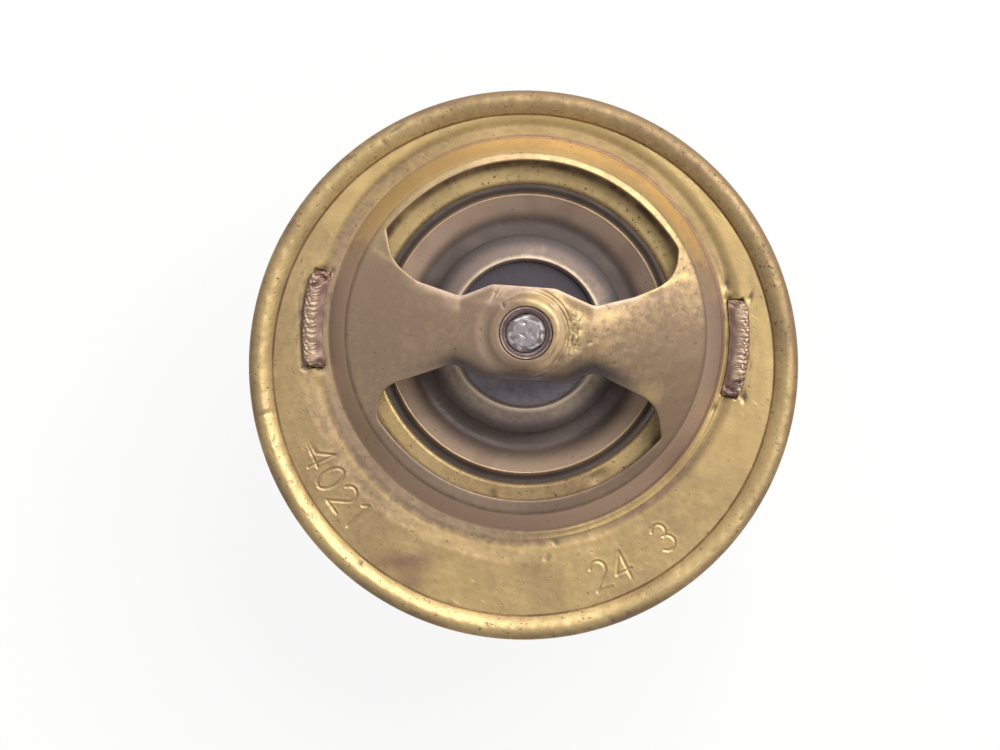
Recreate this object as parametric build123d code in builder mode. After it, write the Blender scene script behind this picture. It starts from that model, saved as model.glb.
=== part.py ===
from build123d import *
import math
import os

# Engine thermostat: a wax element opens a poppet valve below a round, domed flange.
# Frame: origin at the centre of the flange's rim at mid height, +X through the two staked tabs,
# +Z up through the dome. The valve and all it carries stand on an axis that is off the flange's
# centre along +Y. Lengths are in millimetres.

os.makedirs("parts", exist_ok=True)

# Plan sizes run from the piston outwards: each piece clears or holds the one inside it.

# ---------------------------------------------------------------- piston and its sleeve
piston_radius = 1.9
piston_play = 0.05
piston_length = 29.0
piston_proud = 0.2  # the piston's end, above the hub
piston_chamfer = 0.6
piston_flats = 3.45  # across the two flats
flats_length = 3.0
flats_angle = 26.0
sleeve_wall = 0.62
sleeve_play = 0.05
sleeve_lap = 0.28  # width of the collar that bears on the hub's underside
sleeve_collar_height = 0.75
sleeve_length = 2.4
sleeve_sunk = 0.25  # the sleeve's top, below the hub's
sleeve_cone = 0.45
sleeve_gap = 0.44  # from the guide's nose up to the sleeve

# ---------------------------------------------------------------- wax element
boot_wall = 1.5
boot_end = 1.5
boot_flange = 0.8
tip_gap = 0.3  # between the piston's tip and the boot's bottom
wax_wall = 2.25  # wax between the boot and the cup
cup_wall = 0.8
cup_length = 25.0  # from the underside of the head to the foot
foot_bend = 0.3  # inside radius of the cup's foot
neck_bend = 0.2  # and where the cup widens under its head
head_step = 3.3  # how far the head stands out past the cup
head_height = 2.8  # straight side of the head
head_bend = 0.4  # inside radius of the head's lower corner
crimp_run = 2.4  # the head is crimped in by this much
crimp_rise = 1.1
crimp_bend = 0.3
washer_thickness = 0.3
guide_flange = 0.9
nose_wall = 1.3  # round the wiper seal
nose_height = 5.5  # above the guide's flange
wiper_width = 1.05
wiper_height = 0.8
wiper_depth = 1.0
inner_play = 0.05  # between pieces that are packed inside the head

# ---------------------------------------------------------------- valve disc
valley_flat = 1.7  # from the element's head out to the foot of the slope
slope_run = 2.2  # from there to the ridge
valley_drop = 2.1
flank_run = 2.05  # from the ridge to the disc's edge
flank_angle = 47.0
disc_sheet = 0.8
disc_play = 0.35
valley_bend = 0.4
ridge_bend = 0.05
ridge_edge = 0.15  # the ridge is coined sharp on its upper side

# ---------------------------------------------------------------- seat and rim
seat_gap = 0.15  # between the closed valve's flank and the seat's lip
seat_inset = 1.05  # from the disc's ridge to the seat's bore
seat_sheet = 0.8
lip_bend = 0.3  # inside radius where the seat's lip turns down
lip_length = 1.7  # from the seat plate's upper face to the lip's lower edge
notch_inset = 1.75  # small bleed notch in the seat plate, from the bore
notch_angle = 262.0
notch_width = 0.8
valve_offset = 3.1  # valve axis, from the flange's centre along +Y
rim_lap = 2.35  # width of the bead, from its outside to its free edge
rim_land_low = 0.5  # straight side of the rim, from the flange's underside
rim_land_high = 1.7
rim_crown = 0.9  # the bead's crown, above the flange's upper face
rim_edge = 0.15  # height of the bead's free edge on the flange
crown_share = 0.42  # the crown's distance from the rim's outside, as a share of rim_lap
crown_fall = 0.9  # slope of the bead where it meets its free edge

# ---------------------------------------------------------------- dome, bridge and hub
bridge_sheet = 0.8
sheet_play = 0.05  # between the bridge plate's edge and the rim that holds it
seat_ledge = 1.9  # width of the seat that shows through the windows
window_shift = 0.3  # the windows' arcs, from the valve axis along +Y
window_margin = 1.09  # from the windows to the crease between roof and wall
wall_run = 1.6  # the dome's wall, in plan
wall_rise = 2.4
band_width = 2.11  # from the dome's foot to the step in the seat plate
step_run = 0.6
step_drop = 0.3
step_bend = 0.3
step_margin = 0.1  # between the step and the bead, where they are nearest
hub_land = 0.68  # top of the hub's raised boss
boss_run = 0.6
boss_rise = 0.7
hub_flat = 1.1  # flat round the boss
hub_rim = 0.75  # from the boss to the hub's sides
boss_bend = 0.1  # inside radii of the bends, from the hub outwards
boss_foot_bend = 0.15
hub_bend = 0.6
roof_bend = 0.3
dome_foot_bend = 0.2
hub_half_length = 3.6
waist_run = 3.3  # from the hub's corners to the waist of each arm
waist_inset = 1.2
arm_flare = 24.0  # degrees, each edge of an arm from the X axis
window_round = 3.6  # corners at the +X ends of the windows
window_corner = 1.4  # corner at the -X end of the window on the -Y side
window_sharp = 0.4  # and of the one on the +Y side
bridge_fillet = 1.2  # corners of the hub and waist outlines

# ---------------------------------------------------------------- spring and lower frame
wire_radius = 0.85
spring_clear = 2.75  # between the cup and the coils
coil_gap = 0.05  # between a closed end coil and the next
active_turns = 3.0
spring_play = 0.02
frame_sheet = 1.5
tab_width = 9.4
tab_beyond = 0.15  # outer face of the tabs and legs, past the step in the seat plate's upper face
slot_play = 0.1
stake_height = 0.65  # crushed head of a tab, above the flange
stake_out = 0.4  # how far the head stands out past the tab's outer face
stake_in = 0.05  # and past its inner face
leg_width = 12.0
leg_bend_depth = 8.0  # from the flange's underside to where a leg turns inwards
floor_depth = 22.4  # from the flange's underside to the floor's upper face
floor_margin = 1.65  # from the coils to the floor's edge
leg_foot_run = 0.6  # from there to where a leg meets the floor
collar_height = 2.0
leg_bend = 3.0  # inside radii of the frame's bends
floor_bend = 2.0
collar_bend = 1.0
guide_play = 0.3  # between the element's body and the frame's collar

# ---------------------------------------------------------------- plan sizes that follow
bore = piston_radius + piston_play
boot_radius = bore + boot_wall
cup_radius = boot_radius + wax_wall + cup_wall
head_radius = cup_radius + head_step
head_bore = head_radius - cup_wall - inner_play
crimp_radius = head_radius - crimp_run
wiper_radius = bore + wiper_width
nose_radius = wiper_radius + nose_wall
valley_radius = head_radius + valley_flat
ridge_radius = valley_radius + slope_run
flank_radius = ridge_radius + flank_run
seat_bore = ridge_radius + seat_inset
notch_radius = seat_bore + notch_inset
window_radius = seat_bore + seat_ledge
roof_radius = window_radius + window_margin
dome_radius = roof_radius + wall_run
seat_step = dome_radius + band_width
bead_edge = seat_step + valve_offset + step_margin
flange_radius = bead_edge + rim_lap
rim_pocket = flange_radius - seat_sheet
# Bending moves the step outwards from the bridge plate's upper face to its lower one.
step_radius = seat_step - bridge_sheet * math.tan(math.atan2(step_drop, step_run) / 2)
hub_hole = bore + sleeve_wall + sleeve_play
boss_top = hub_hole + hub_land
boss_radius = boss_top + boss_run
hub_flat_radius = boss_radius + hub_flat
hub_half_width = boss_radius + hub_rim
waist_x = hub_half_length + waist_run
waist_half_width = hub_half_width - waist_inset
spring_radius = cup_radius + spring_clear + wire_radius
collar_bore = cup_radius + guide_play
floor_radius = spring_radius + wire_radius + floor_margin
leg_foot = floor_radius + leg_foot_run
tab_radius = seat_step + tab_beyond

# ---------------------------------------------------------------- heights that follow
underside = -(rim_land_low + rim_land_high) / 2
seat_top = underside + seat_sheet
flange_top = seat_top + bridge_sheet
band_top = flange_top - step_drop
crease_z = band_top + wall_rise
ring_top = seat_top - step_drop
lip_low = ring_top - lip_length
flank_slope = math.tan(math.radians(flank_angle))
ridge_z = (
    lip_low
    - seat_gap / math.cos(math.radians(flank_angle))
    + (seat_bore - ridge_radius) * flank_slope
)
valley_z = ridge_z - valley_drop
foot_z = valley_z - cup_length
shoulder_z = valley_z + cup_wall
guide_low = shoulder_z + boot_flange + washer_thickness
guide_top = guide_low + guide_flange
nose_top = guide_top + nose_height
floor_top = underside - floor_depth
sleeve_low = nose_top + sleeve_gap
sleeve_top = sleeve_low + sleeve_length
hub_top = sleeve_top + sleeve_sunk
hub_z = hub_top - boss_rise
piston_top = hub_top + piston_proud
piston_low = piston_top - piston_length
boot_low = piston_low - tip_gap - boot_end
spring_top = valley_z - disc_sheet

valve_centre = (0, valve_offset)
section = Plane.XZ.offset(-valve_offset)  # radial sections about the valve axis
valve_axis = Axis((0, valve_offset, 0), (0, 0, 1))


def bent_sheet(line, inside_bends, thickness, coined=None):
    """Outline of a bent sheet: one face follows line, the other lies thickness to its right.

    Each corner's inner face is rounded by its inside bend, and the outer one by thickness more,
    except where coined, by the corner's place in the list, gives the outer radius itself.
    """
    points = [Vector(*point) for point in line]
    runs = [(b - a).normalized() for a, b in zip(points, points[1:])]
    rights = [Vector(run.Y, -run.X) for run in runs]
    befores = [rights[0], *rights]
    afters = [*rights, rights[-1]]
    far = [
        p + (a + b) * (thickness / (1 + a.dot(b)))
        for p, a, b in zip(points, befores, afters)
    ]
    left_turns = [a.X * b.Y - a.Y * b.X > 0 for a, b in zip(runs, runs[1:])]
    outside_bends = [
        (coined or {}).get(place, bend + thickness) for place, bend in enumerate(inside_bends)
    ]
    corners = list(zip(inside_bends, outside_bends, left_turns))
    near_radii = [inside if left else outside for inside, outside, left in corners]
    far_radii = [outside if left else inside for inside, outside, left in corners]
    with BuildLine(mode=Mode.PRIVATE) as outline:
        FilletPolyline(*points, radius=near_radii)
        FilletPolyline(*far, radius=far_radii)
        Line(points[0], far[0])
        Line(points[-1], far[-1])
    return outline.line.edges()


# ---------------------------------------------------------------- plan outlines
with BuildSketch() as slot_plan:
    with Locations(valve_centre):
        Circle(tab_radius + slot_play)
        Circle(tab_radius - frame_sheet - slot_play, mode=Mode.SUBTRACT)
        Rectangle(
            2 * flange_radius, tab_width + 2 * slot_play, mode=Mode.INTERSECT
        )

flare = math.tan(math.radians(arm_flare))
arm_reach = flange_radius - waist_x
arm_end = waist_half_width + arm_reach * flare
half_bridge = [
    (-flange_radius, arm_end),
    (-waist_x, waist_half_width),
    (-hub_half_length, hub_half_width),
    (hub_half_length, hub_half_width),
    (waist_x, waist_half_width),
    (flange_radius, arm_end),
]
with BuildSketch() as window_plan:
    with Locations((0, valve_offset + window_shift)):
        Circle(window_radius)
    with Locations(valve_centre):
        Polygon(
            *half_bridge,
            *[(-x, -y) for x, y in half_bridge],
            align=None,
            mode=Mode.SUBTRACT,
        )
    corners = window_plan.vertices()
    waist_side = corners.filter_by(lambda v: abs(v.X) < waist_x + bridge_fillet)
    fillet(waist_side, bridge_fillet)
    ends = window_plan.vertices().filter_by(
        lambda v: abs(v.X) > waist_x + 2 * bridge_fillet
    )
    fillet(ends.filter_by(lambda v: v.X > 0), window_round)
    ends = window_plan.vertices().filter_by(
        lambda v: v.X < -waist_x - 2 * bridge_fillet
    )
    fillet(ends.filter_by(lambda v: v.Y < valve_offset), window_corner)
    ends = window_plan.vertices().filter_by(
        lambda v: v.X < -waist_x - 2 * bridge_fillet and v.Y > valve_offset
    )
    fillet(ends, window_sharp)

# ---------------------------------------------------------------- bridge plate
roof_line = [
    (hub_hole, hub_top),
    (boss_top, hub_top),
    (boss_radius, hub_z),
    (hub_flat_radius, hub_z),
    (roof_radius, crease_z),
    (dome_radius, band_top),
    (step_radius - step_run, band_top),
    (step_radius, flange_top),
    (step_radius + bridge_sheet, flange_top),
]
roof_bends = [boss_bend, boss_foot_bend, hub_bend, roof_bend, dome_foot_bend, step_bend, step_bend]
with BuildPart() as bridge_plate:
    with BuildSketch(section):
        make_face(bent_sheet(roof_line, roof_bends, bridge_sheet))
    revolve(axis=valve_axis)
    extrude(
        window_plan.sketch.moved(Location((0, 0, band_top))),
        amount=hub_top - band_top,
        mode=Mode.SUBTRACT,
    )
    with BuildSketch(Plane.XY.offset(seat_top)):
        Circle(rim_pocket - sheet_play)
        with Locations(valve_centre):
            Circle(step_radius + bridge_sheet, mode=Mode.SUBTRACT)
    extrude(amount=bridge_sheet)
    with BuildSketch(Plane.XY.offset(hub_top)):
        Circle(rim_pocket - sheet_play)
    extrude(amount=underside - hub_top, mode=Mode.INTERSECT)
    extrude(
        slot_plan.sketch.moved(Location((0, 0, underside))),
        amount=flange_top - underside,
        mode=Mode.SUBTRACT,
    )
bridge_plate.part.label = "bridge_plate"
export_step(bridge_plate.part, "parts/bridge_plate.step")

# ---------------------------------------------------------------- seat plate with its rolled rim
bead_z = flange_top + rim_crown
seat_line = [
    (seat_bore, lip_low),
    (seat_bore, ring_top),
    (seat_step - step_run, ring_top),
    (seat_step, seat_top),
    (seat_step + seat_sheet, seat_top),
]
with BuildPart() as seat_plate:
    with BuildSketch(section):
        make_face(bent_sheet(seat_line, [lip_bend, step_bend, step_bend], seat_sheet))
    revolve(axis=valve_axis)
    with BuildSketch(Plane.XY.offset(underside)):
        Circle(bead_edge + sheet_play)
    extrude(amount=-lip_length - step_drop, both=True, mode=Mode.INTERSECT)
    with BuildSketch(Plane.XY.offset(underside)):
        Circle(flange_radius - rim_land_low)
        with Locations(valve_centre):
            Circle(seat_step + seat_sheet, mode=Mode.SUBTRACT)
    extrude(amount=seat_sheet)
    with BuildSketch(Plane.XZ):
        with BuildLine():
            inner = Line((bead_edge, underside), (flange_radius - rim_land_low, underside))
            low = RadiusArc(
                inner @ 1, (flange_radius, underside + rim_land_low), -rim_land_low
            )
            land = Line(low @ 1, (flange_radius, underside + rim_land_high))
            crown = Spline(
                land @ 1,
                (flange_radius - crown_share * rim_lap, bead_z),
                (bead_edge, flange_top + rim_edge),
                tangents=[(0, 1), (-1, -crown_fall)],
            )
            Polyline(
                crown @ 1,
                (bead_edge, flange_top),
                (rim_pocket, flange_top),
                (rim_pocket, seat_top),
                (bead_edge, seat_top),
                inner @ 0,
            )
        make_face()
    revolve(axis=Axis.Z)
    extrude(
        slot_plan.sketch.moved(Location((0, 0, underside - step_drop))),
        amount=seat_top - underside + step_drop,
        mode=Mode.SUBTRACT,
    )
    notch_at = (
        notch_radius * math.cos(math.radians(notch_angle)),
        valve_offset + notch_radius * math.sin(math.radians(notch_angle)),
    )
    with BuildSketch(Plane.XY.offset(ring_top)):
        with Locations(notch_at):
            Circle(notch_width / 2)
    extrude(amount=-seat_sheet, mode=Mode.SUBTRACT)
seat_plate.part.label = "seat_plate"
export_step(seat_plate.part, "parts/seat_plate.step")

# ---------------------------------------------------------------- lower frame
floor_low = floor_top - frame_sheet
leg_bend_z = underside - leg_bend_depth
stake_low = flange_top + sheet_play
stake_top = flange_top + stake_height
leg_line = [
    (tab_radius, stake_top),
    (tab_radius, leg_bend_z),
    (leg_foot, floor_low),
    (collar_bore, floor_low),
    (collar_bore, floor_top + collar_height),
]
head_outside = tab_radius + stake_out
head_inside = tab_radius - frame_sheet - stake_in
with BuildPart() as lower_frame:
    with BuildSketch(section):
        make_face(bent_sheet(leg_line, [leg_bend, floor_bend, collar_bend], frame_sheet))
        with Locations(((head_inside + head_outside) / 2, (stake_low + stake_top) / 2)):
            Rectangle(head_outside - head_inside, stake_top - stake_low)
    revolve(axis=valve_axis)
    with BuildSketch(Plane.XY.offset(stake_top)) as around_tabs:
        with Locations(valve_centre):
            Circle(flange_radius)
            Rectangle(2 * flange_radius, tab_width, mode=Mode.SUBTRACT)
    extrude(amount=underside - step_drop - stake_top, mode=Mode.SUBTRACT)
    with BuildSketch(Plane.XY.offset(underside - step_drop)) as around_legs:
        with Locations(valve_centre):
            Circle(flange_radius)
            Circle(floor_radius, mode=Mode.SUBTRACT)
            Rectangle(2 * flange_radius, leg_width, mode=Mode.SUBTRACT)
    extrude(amount=floor_low - underside, mode=Mode.SUBTRACT)
lower_frame.part.label = "lower_frame"
export_step(lower_frame.part, "parts/lower_frame.step")

# ---------------------------------------------------------------- valve disc
disc_line = [
    (cup_radius + disc_play, valley_z),
    (valley_radius, valley_z),
    (ridge_radius, ridge_z),
    (flank_radius, ridge_z - (flank_radius - ridge_radius) * flank_slope),
]
with BuildPart() as valve_disc:
    with BuildSketch(section):
        make_face(
            bent_sheet(disc_line, [valley_bend, ridge_bend], disc_sheet, coined={1: ridge_edge})
        )
    revolve(axis=valve_axis)
valve_disc.part.label = "valve_disc"
export_step(valve_disc.part, "parts/valve_disc.step")

# ---------------------------------------------------------------- cup of the wax element
head_top = valley_z + head_height
cup_line = [
    (crimp_radius, head_top + crimp_rise),
    (head_radius, head_top),
    (head_radius, valley_z),
    (cup_radius, valley_z),
    (cup_radius, foot_z),
    (0, foot_z),
]
cup_bends = [crimp_bend, head_bend, neck_bend, foot_bend]
with BuildPart() as element_cup:
    with BuildSketch(section):
        make_face(bent_sheet(cup_line, cup_bends, cup_wall))
    revolve(axis=valve_axis)
element_cup.part.label = "element_cup"
export_step(element_cup.part, "parts/element_cup.step")

# ---------------------------------------------------------------- inside the element
with BuildPart() as rubber_boot:
    with BuildSketch(section):
        with BuildLine():
            Polyline(
                (0, boot_low),
                (boot_radius, boot_low),
                (boot_radius, shoulder_z),
                (head_bore - head_bend, shoulder_z),
                (head_bore, shoulder_z + head_bend),
                (head_bore, shoulder_z + boot_flange),
                (bore, shoulder_z + boot_flange),
                (bore, boot_low + boot_end),
                (0, boot_low + boot_end),
                close=True,
            )
        make_face()
    revolve(axis=valve_axis)
    fillet(rubber_boot.edges().sort_by(Axis.Z)[0], boot_wall / 2)
rubber_boot.part.label = "rubber_boot"
export_step(rubber_boot.part, "parts/rubber_boot.step")

with BuildPart() as wax_charge:
    with BuildSketch(Plane.XY.offset(foot_z + cup_wall + inner_play)):
        with Locations(valve_centre):
            Circle(cup_radius - cup_wall - inner_play)
    extrude(amount=shoulder_z - foot_z - cup_wall - 2 * inner_play)
    fillet(wax_charge.edges().sort_by(Axis.Z)[0], foot_bend)
    with BuildSketch(Plane.XY.offset(shoulder_z)):
        with Locations(valve_centre):
            Circle(boot_radius + inner_play)
    extrude(amount=boot_low - inner_play - shoulder_z, mode=Mode.SUBTRACT)
wax_charge.part.label = "wax_charge"
export_step(wax_charge.part, "parts/wax_charge.step")

with BuildPart() as backup_washer:
    with BuildSketch(Plane.XY.offset(guide_low - washer_thickness)):
        with Locations(valve_centre):
            Circle(head_bore)
            Circle(bore, mode=Mode.SUBTRACT)
    extrude(amount=washer_thickness)
backup_washer.part.label = "backup_washer"
export_step(backup_washer.part, "parts/backup_washer.step")

lip_slope = crimp_rise / (head_radius - crimp_radius)
lip_drop = cup_wall * math.hypot(1, lip_slope) + inner_play
bevel_z = head_top + crimp_rise - (head_bore - crimp_radius) * lip_slope - lip_drop
bevel_radius = head_bore - (guide_top - bevel_z) / lip_slope
with BuildPart() as piston_guide:
    with BuildSketch(section):
        with BuildLine():
            Polyline(
                (bore, guide_low),
                (head_bore, guide_low),
                (head_bore, bevel_z),
                (bevel_radius, guide_top),
                (nose_radius, guide_top),
                (nose_radius, nose_top - wiper_depth),
                (nose_radius - wiper_depth / 2, nose_top),
                (wiper_radius + inner_play, nose_top),
                (wiper_radius + inner_play, nose_top - wiper_depth),
                (bore, nose_top - wiper_depth),
                close=True,
            )
        make_face()
    revolve(axis=valve_axis)
piston_guide.part.label = "piston_guide"
export_step(piston_guide.part, "parts/piston_guide.step")

with BuildPart() as wiper_seal:
    with BuildSketch(Plane.XY.offset(nose_top - wiper_depth)):
        with Locations(valve_centre):
            Circle(wiper_radius)
            Circle(bore, mode=Mode.SUBTRACT)
    extrude(amount=wiper_height)
wiper_seal.part.label = "wiper_seal"
export_step(wiper_seal.part, "parts/wiper_seal.step")

# ---------------------------------------------------------------- piston and its sleeve in the hub
with BuildPart() as piston:
    with BuildSketch(Plane.XY.offset(piston_low)):
        with Locations(valve_centre):
            Circle(piston_radius)
    extrude(amount=piston_length)
    chamfer(piston.edges().group_by(Axis.Z)[0], piston_chamfer)
    chamfer(piston.edges().group_by(Axis.Z)[-1], piston_chamfer)
    with BuildSketch(Plane.XY.offset(piston_top)):
        with Locations(Location((*valve_centre, 0), (0, 0, flats_angle))):
            Circle(2 * piston_radius)
            Rectangle(4 * piston_radius, piston_flats, mode=Mode.SUBTRACT)
    extrude(amount=-flats_length, mode=Mode.SUBTRACT)
piston.part.label = "piston"
export_step(piston.part, "parts/piston.step")

sleeve_radius = hub_hole - sleeve_play
sleeve_collar = sleeve_radius + sleeve_lap
boss_underside = hub_top - bridge_sheet - sleeve_play
with BuildPart() as hub_sleeve:
    with BuildSketch(section):
        with BuildLine():
            Polyline(
                (bore, sleeve_low),
                (sleeve_radius, sleeve_low),
                (sleeve_radius, boss_underside - sleeve_collar_height),
                (sleeve_collar, boss_underside - sleeve_collar_height),
                (sleeve_collar, boss_underside),
                (sleeve_radius, boss_underside),
                (sleeve_radius, sleeve_top),
                (bore, sleeve_top - sleeve_cone),
                close=True,
            )
        make_face()
    revolve(axis=valve_axis)
hub_sleeve.part.label = "hub_sleeve"
export_step(hub_sleeve.part, "parts/hub_sleeve.step")

# ---------------------------------------------------------------- main spring
spring_low = floor_top + spring_play + wire_radius
closed_pitch = 2 * wire_radius + coil_gap
active_height = spring_top - spring_play - wire_radius - spring_low - 2 * closed_pitch
with BuildPart() as main_spring:
    with BuildLine() as coil:
        Helix(
            pitch=closed_pitch,
            height=closed_pitch,
            radius=spring_radius,
            center=(0, valve_offset, spring_low),
        )
        Helix(
            pitch=active_height / active_turns,
            height=active_height,
            radius=spring_radius,
            center=(0, valve_offset, spring_low + closed_pitch),
        )
        Helix(
            pitch=closed_pitch,
            height=closed_pitch,
            radius=spring_radius,
            center=(0, valve_offset, spring_low + closed_pitch + active_height),
        )
    with BuildSketch(coil.line ^ 0):
        Circle(wire_radius)
    sweep(path=coil.line, is_frenet=True)
main_spring.part.label = "main_spring"
export_step(main_spring.part, "parts/main_spring.step")
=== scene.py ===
import bmesh
import bpy
import math
import numpy as np
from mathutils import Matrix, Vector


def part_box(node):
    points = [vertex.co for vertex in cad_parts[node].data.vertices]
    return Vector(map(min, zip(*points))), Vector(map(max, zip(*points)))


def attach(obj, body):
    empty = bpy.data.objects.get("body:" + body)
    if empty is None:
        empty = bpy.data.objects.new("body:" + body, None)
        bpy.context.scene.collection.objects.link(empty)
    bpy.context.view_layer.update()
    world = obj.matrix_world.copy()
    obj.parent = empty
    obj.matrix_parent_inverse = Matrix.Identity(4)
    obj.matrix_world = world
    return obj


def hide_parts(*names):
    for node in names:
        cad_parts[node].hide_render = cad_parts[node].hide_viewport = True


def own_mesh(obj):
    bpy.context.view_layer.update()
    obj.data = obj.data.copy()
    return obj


# Engine thermostat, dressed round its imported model. Shapes are worked out in millimetres in the
# frame of the model, as grids of points, and turned into metres when their mesh is made.

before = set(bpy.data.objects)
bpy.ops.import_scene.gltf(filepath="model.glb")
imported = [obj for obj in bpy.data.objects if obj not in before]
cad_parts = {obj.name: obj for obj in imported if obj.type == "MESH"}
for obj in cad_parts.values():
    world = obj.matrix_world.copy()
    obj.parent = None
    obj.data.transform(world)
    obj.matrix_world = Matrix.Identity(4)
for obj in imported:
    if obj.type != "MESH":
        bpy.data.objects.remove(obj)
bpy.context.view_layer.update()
MM = 0.001


# ---------------------------------------------------------------- sizes read from the model
def reach(node):
    """Lowest and highest corner of a solid of the model, in millimetres."""
    low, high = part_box(node)
    return np.array(low) / MM, np.array(high) / MM


seat_low, seat_high = reach("seat_plate")
bridge_low, bridge_high = reach("bridge_plate")
disc_low, disc_high = reach("valve_disc")
guide_low, guide_high = reach("piston_guide")
pin_low, pin_high = reach("piston")
sleeve_low, sleeve_high = reach("hub_sleeve")
frame_low, frame_high = reach("lower_frame")
wiper_low, wiper_high = reach("wiper_seal")

valve_y = (disc_low[1] + disc_high[1]) / 2
flange_radius = seat_high[0]
flange_top = 0.5
lip_low = seat_low[2]
hub_top = bridge_high[2]
valley_z = disc_low[2] + 0.8
foot_z = reach("element_cup")[0][2]
floor_low = frame_low[2]
stake_top = frame_high[2]
nose_top = guide_high[2]

sheet = 0.8
band_top = bridge_low[2] + sheet
bead_width = 2.35
bead_edge = flange_radius - bead_width
rim_pocket = flange_radius - sheet
underside = flange_top - 2 * sheet
seat_top = flange_top - sheet
ring_top = seat_top - 0.3
seat_bore = 14.75
window_radius = 16.65
window_shift = 0.3
roof_radius = 17.74
dome_radius = 19.34
crease_z = band_top + 2.4
hub_z = hub_top - 0.7
hub_hole = 2.62
slot_inside = 20.0
slot_outside = 21.7
slot_turn = math.asin(4.8 / ((slot_inside + slot_outside) / 2))


# ---------------------------------------------------------------- small tools for shapes
def rounded(points, radii, steps=6):
    """Path through points as an (n, 2) array: each corner between them is an arc of its radius."""
    points = np.asarray(points, float)
    path = [points[:1]]
    for before, corner, after, radius in zip(points, points[1:], points[2:], radii):
        into = (corner - before) / np.hypot(*(corner - before))
        out = (after - corner) / np.hypot(*(after - corner))
        turn = math.atan2(into[0] * out[1] - into[1] * out[0], into @ out)
        if radius == 0 or abs(turn) < 1e-6:
            path.append(corner[None])
            continue
        side = math.copysign(1, turn) * np.array([-into[1], into[0]])
        start = corner - into * radius * math.tan(abs(turn) / 2)
        sweep = np.linspace(0, turn, steps + 1)[:, None]
        arm = -radius * side
        across = np.array([-arm[1], arm[0]])
        path.append(start - arm + arm * np.cos(sweep) + across * np.sin(sweep))
    path.append(points[-1:])
    return np.concatenate(path)


def along(path):
    """Distance from the start of a path to each of its points."""
    return np.concatenate([[0], np.cumsum(np.hypot(*np.diff(path[:, :2], axis=0).T))])


def sampled(path, places):
    """Points of a path at the given distances along it, each column interpolated."""
    length = along(path)
    return np.stack([np.interp(places, length, column) for column in path.T], axis=1)


def stations(path, count):
    """Points of a path at even distances."""
    return sampled(path, np.linspace(0, along(path)[-1], count))


def crowded(places, weight, count):
    """Places from the first on, count of them before the last, closer where the weight is larger.

    Even steps of the weight's running total are looked up in it.
    """
    total = np.concatenate([[0], np.cumsum(weight[:-1])])
    return np.interp(np.linspace(0, total[-1], count + 1)[:-1], total, places)


def spaced(path, step, guard=0.05):
    """The path with points added so that none is further than step from the next.

    A point stands guard beside each of its own, which keeps shading flat up to a bend.
    """
    length = along(path)
    extra = np.arange(0, length[-1], step)
    beside = np.concatenate([length - guard, length + guard])
    beside = beside[(beside > 0) & (beside < length[-1])]
    places = np.sort(np.concatenate([length, extra, beside]))
    alone = np.abs(places[:, None] - length).min(1) > guard * 0.6
    alone &= np.diff(places, prepend=-1) > guard * 0.6
    return sampled(path, np.unique(places[alone | np.isin(places, length)]))


def bent_sheet(line, inside_bends, thickness, edge, coined=None, closed=True):
    """Outline of a bent sheet: one face follows line, the other lies thickness to its right.

    Inner bends have their own radius, outer ones thickness more or the coined one, and the cut
    ends are rounded by edge. An outline that isn't closed starts and ends at the line's last
    point, for a piece that closes on its axis.
    """
    line = np.asarray(line, float)
    runs = np.diff(line, axis=0)
    runs /= np.hypot(*runs.T)[:, None]
    rights = np.stack([runs[:, 1], -runs[:, 0]], axis=1)
    befores = np.concatenate([rights[:1], rights])
    afters = np.concatenate([rights, rights[-1:]])
    spread = thickness / (1 + (befores * afters).sum(1))
    far = line + (befores + afters) * spread[:, None]
    left = runs[:-1, 0] * runs[1:, 1] - runs[:-1, 1] * runs[1:, 0] > 0
    inside = np.asarray(inside_bends, float)
    outside = inside + thickness
    for place, radius in (coined or {}).items():
        outside[place] = radius
    near_radii = np.where(left, inside, outside)
    far_radii = np.where(left, outside, inside)
    if not closed:
        points = np.concatenate([line[::-1], far])
        return rounded(points, [*near_radii[::-1], edge, edge, *far_radii])
    middle = (line[0] + far[0]) / 2
    points = np.concatenate([[middle], line, far[::-1], [middle]])
    return rounded(points, [edge, *near_radii, edge, edge, *far_radii[::-1], edge])[:-1]


def section(points, radii, step=0.3):
    """Closed section with rounded corners: it starts and ends half way along its first side."""
    middle = np.mean([points[0], points[-1]], axis=0)
    return spaced(rounded([middle, *points, middle], radii), step, 0.04)[:-1]


def turned(loop, angles):
    """Points of a profile carried round the valve axis: rows follow it, columns the angle."""
    r, z = loop[:, :1], loop[:, 1:2]
    x, y = r * np.cos(angles), valve_y + r * np.sin(angles)
    return np.stack([x, y, np.broadcast_to(z, x.shape)], axis=-1)


def ring_angles(count):
    """Angles once round, evenly spaced."""
    return np.linspace(0, 2 * math.pi, count, endpoint=False)


def closed_end(row, share):
    """Rows that shrink a row of points to its middle over one at share, to close a tube's end."""
    middle = row.mean(0)
    return middle + (row - middle) * np.array([1.0, share, 0.0])[:, None, None]


def waves(x, y, length, seed):
    """Smooth uneven pattern between about -1 and 1: a sum of sine waves in many directions."""
    rng = np.random.default_rng(seed)
    count = 14
    heading = rng.uniform(0, 2 * math.pi, count)
    number = 2 * math.pi / (length * rng.uniform(0.6, 1.6, count))
    phase = rng.uniform(0, 2 * math.pi, count)
    total = np.zeros(np.shape(x))
    for a, k, p in zip(heading, number, phase):
        total += np.sin(k * (np.cos(a) * x + np.sin(a) * y) + p)
    return total * math.sqrt(2 / count) * 0.7


def soft_step(value, low, high):
    """0 below low, 1 above high, and a smooth rise between."""
    t = np.clip((value - low) / (high - low), 0, 1)
    return t * t * (3 - 2 * t)


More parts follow.
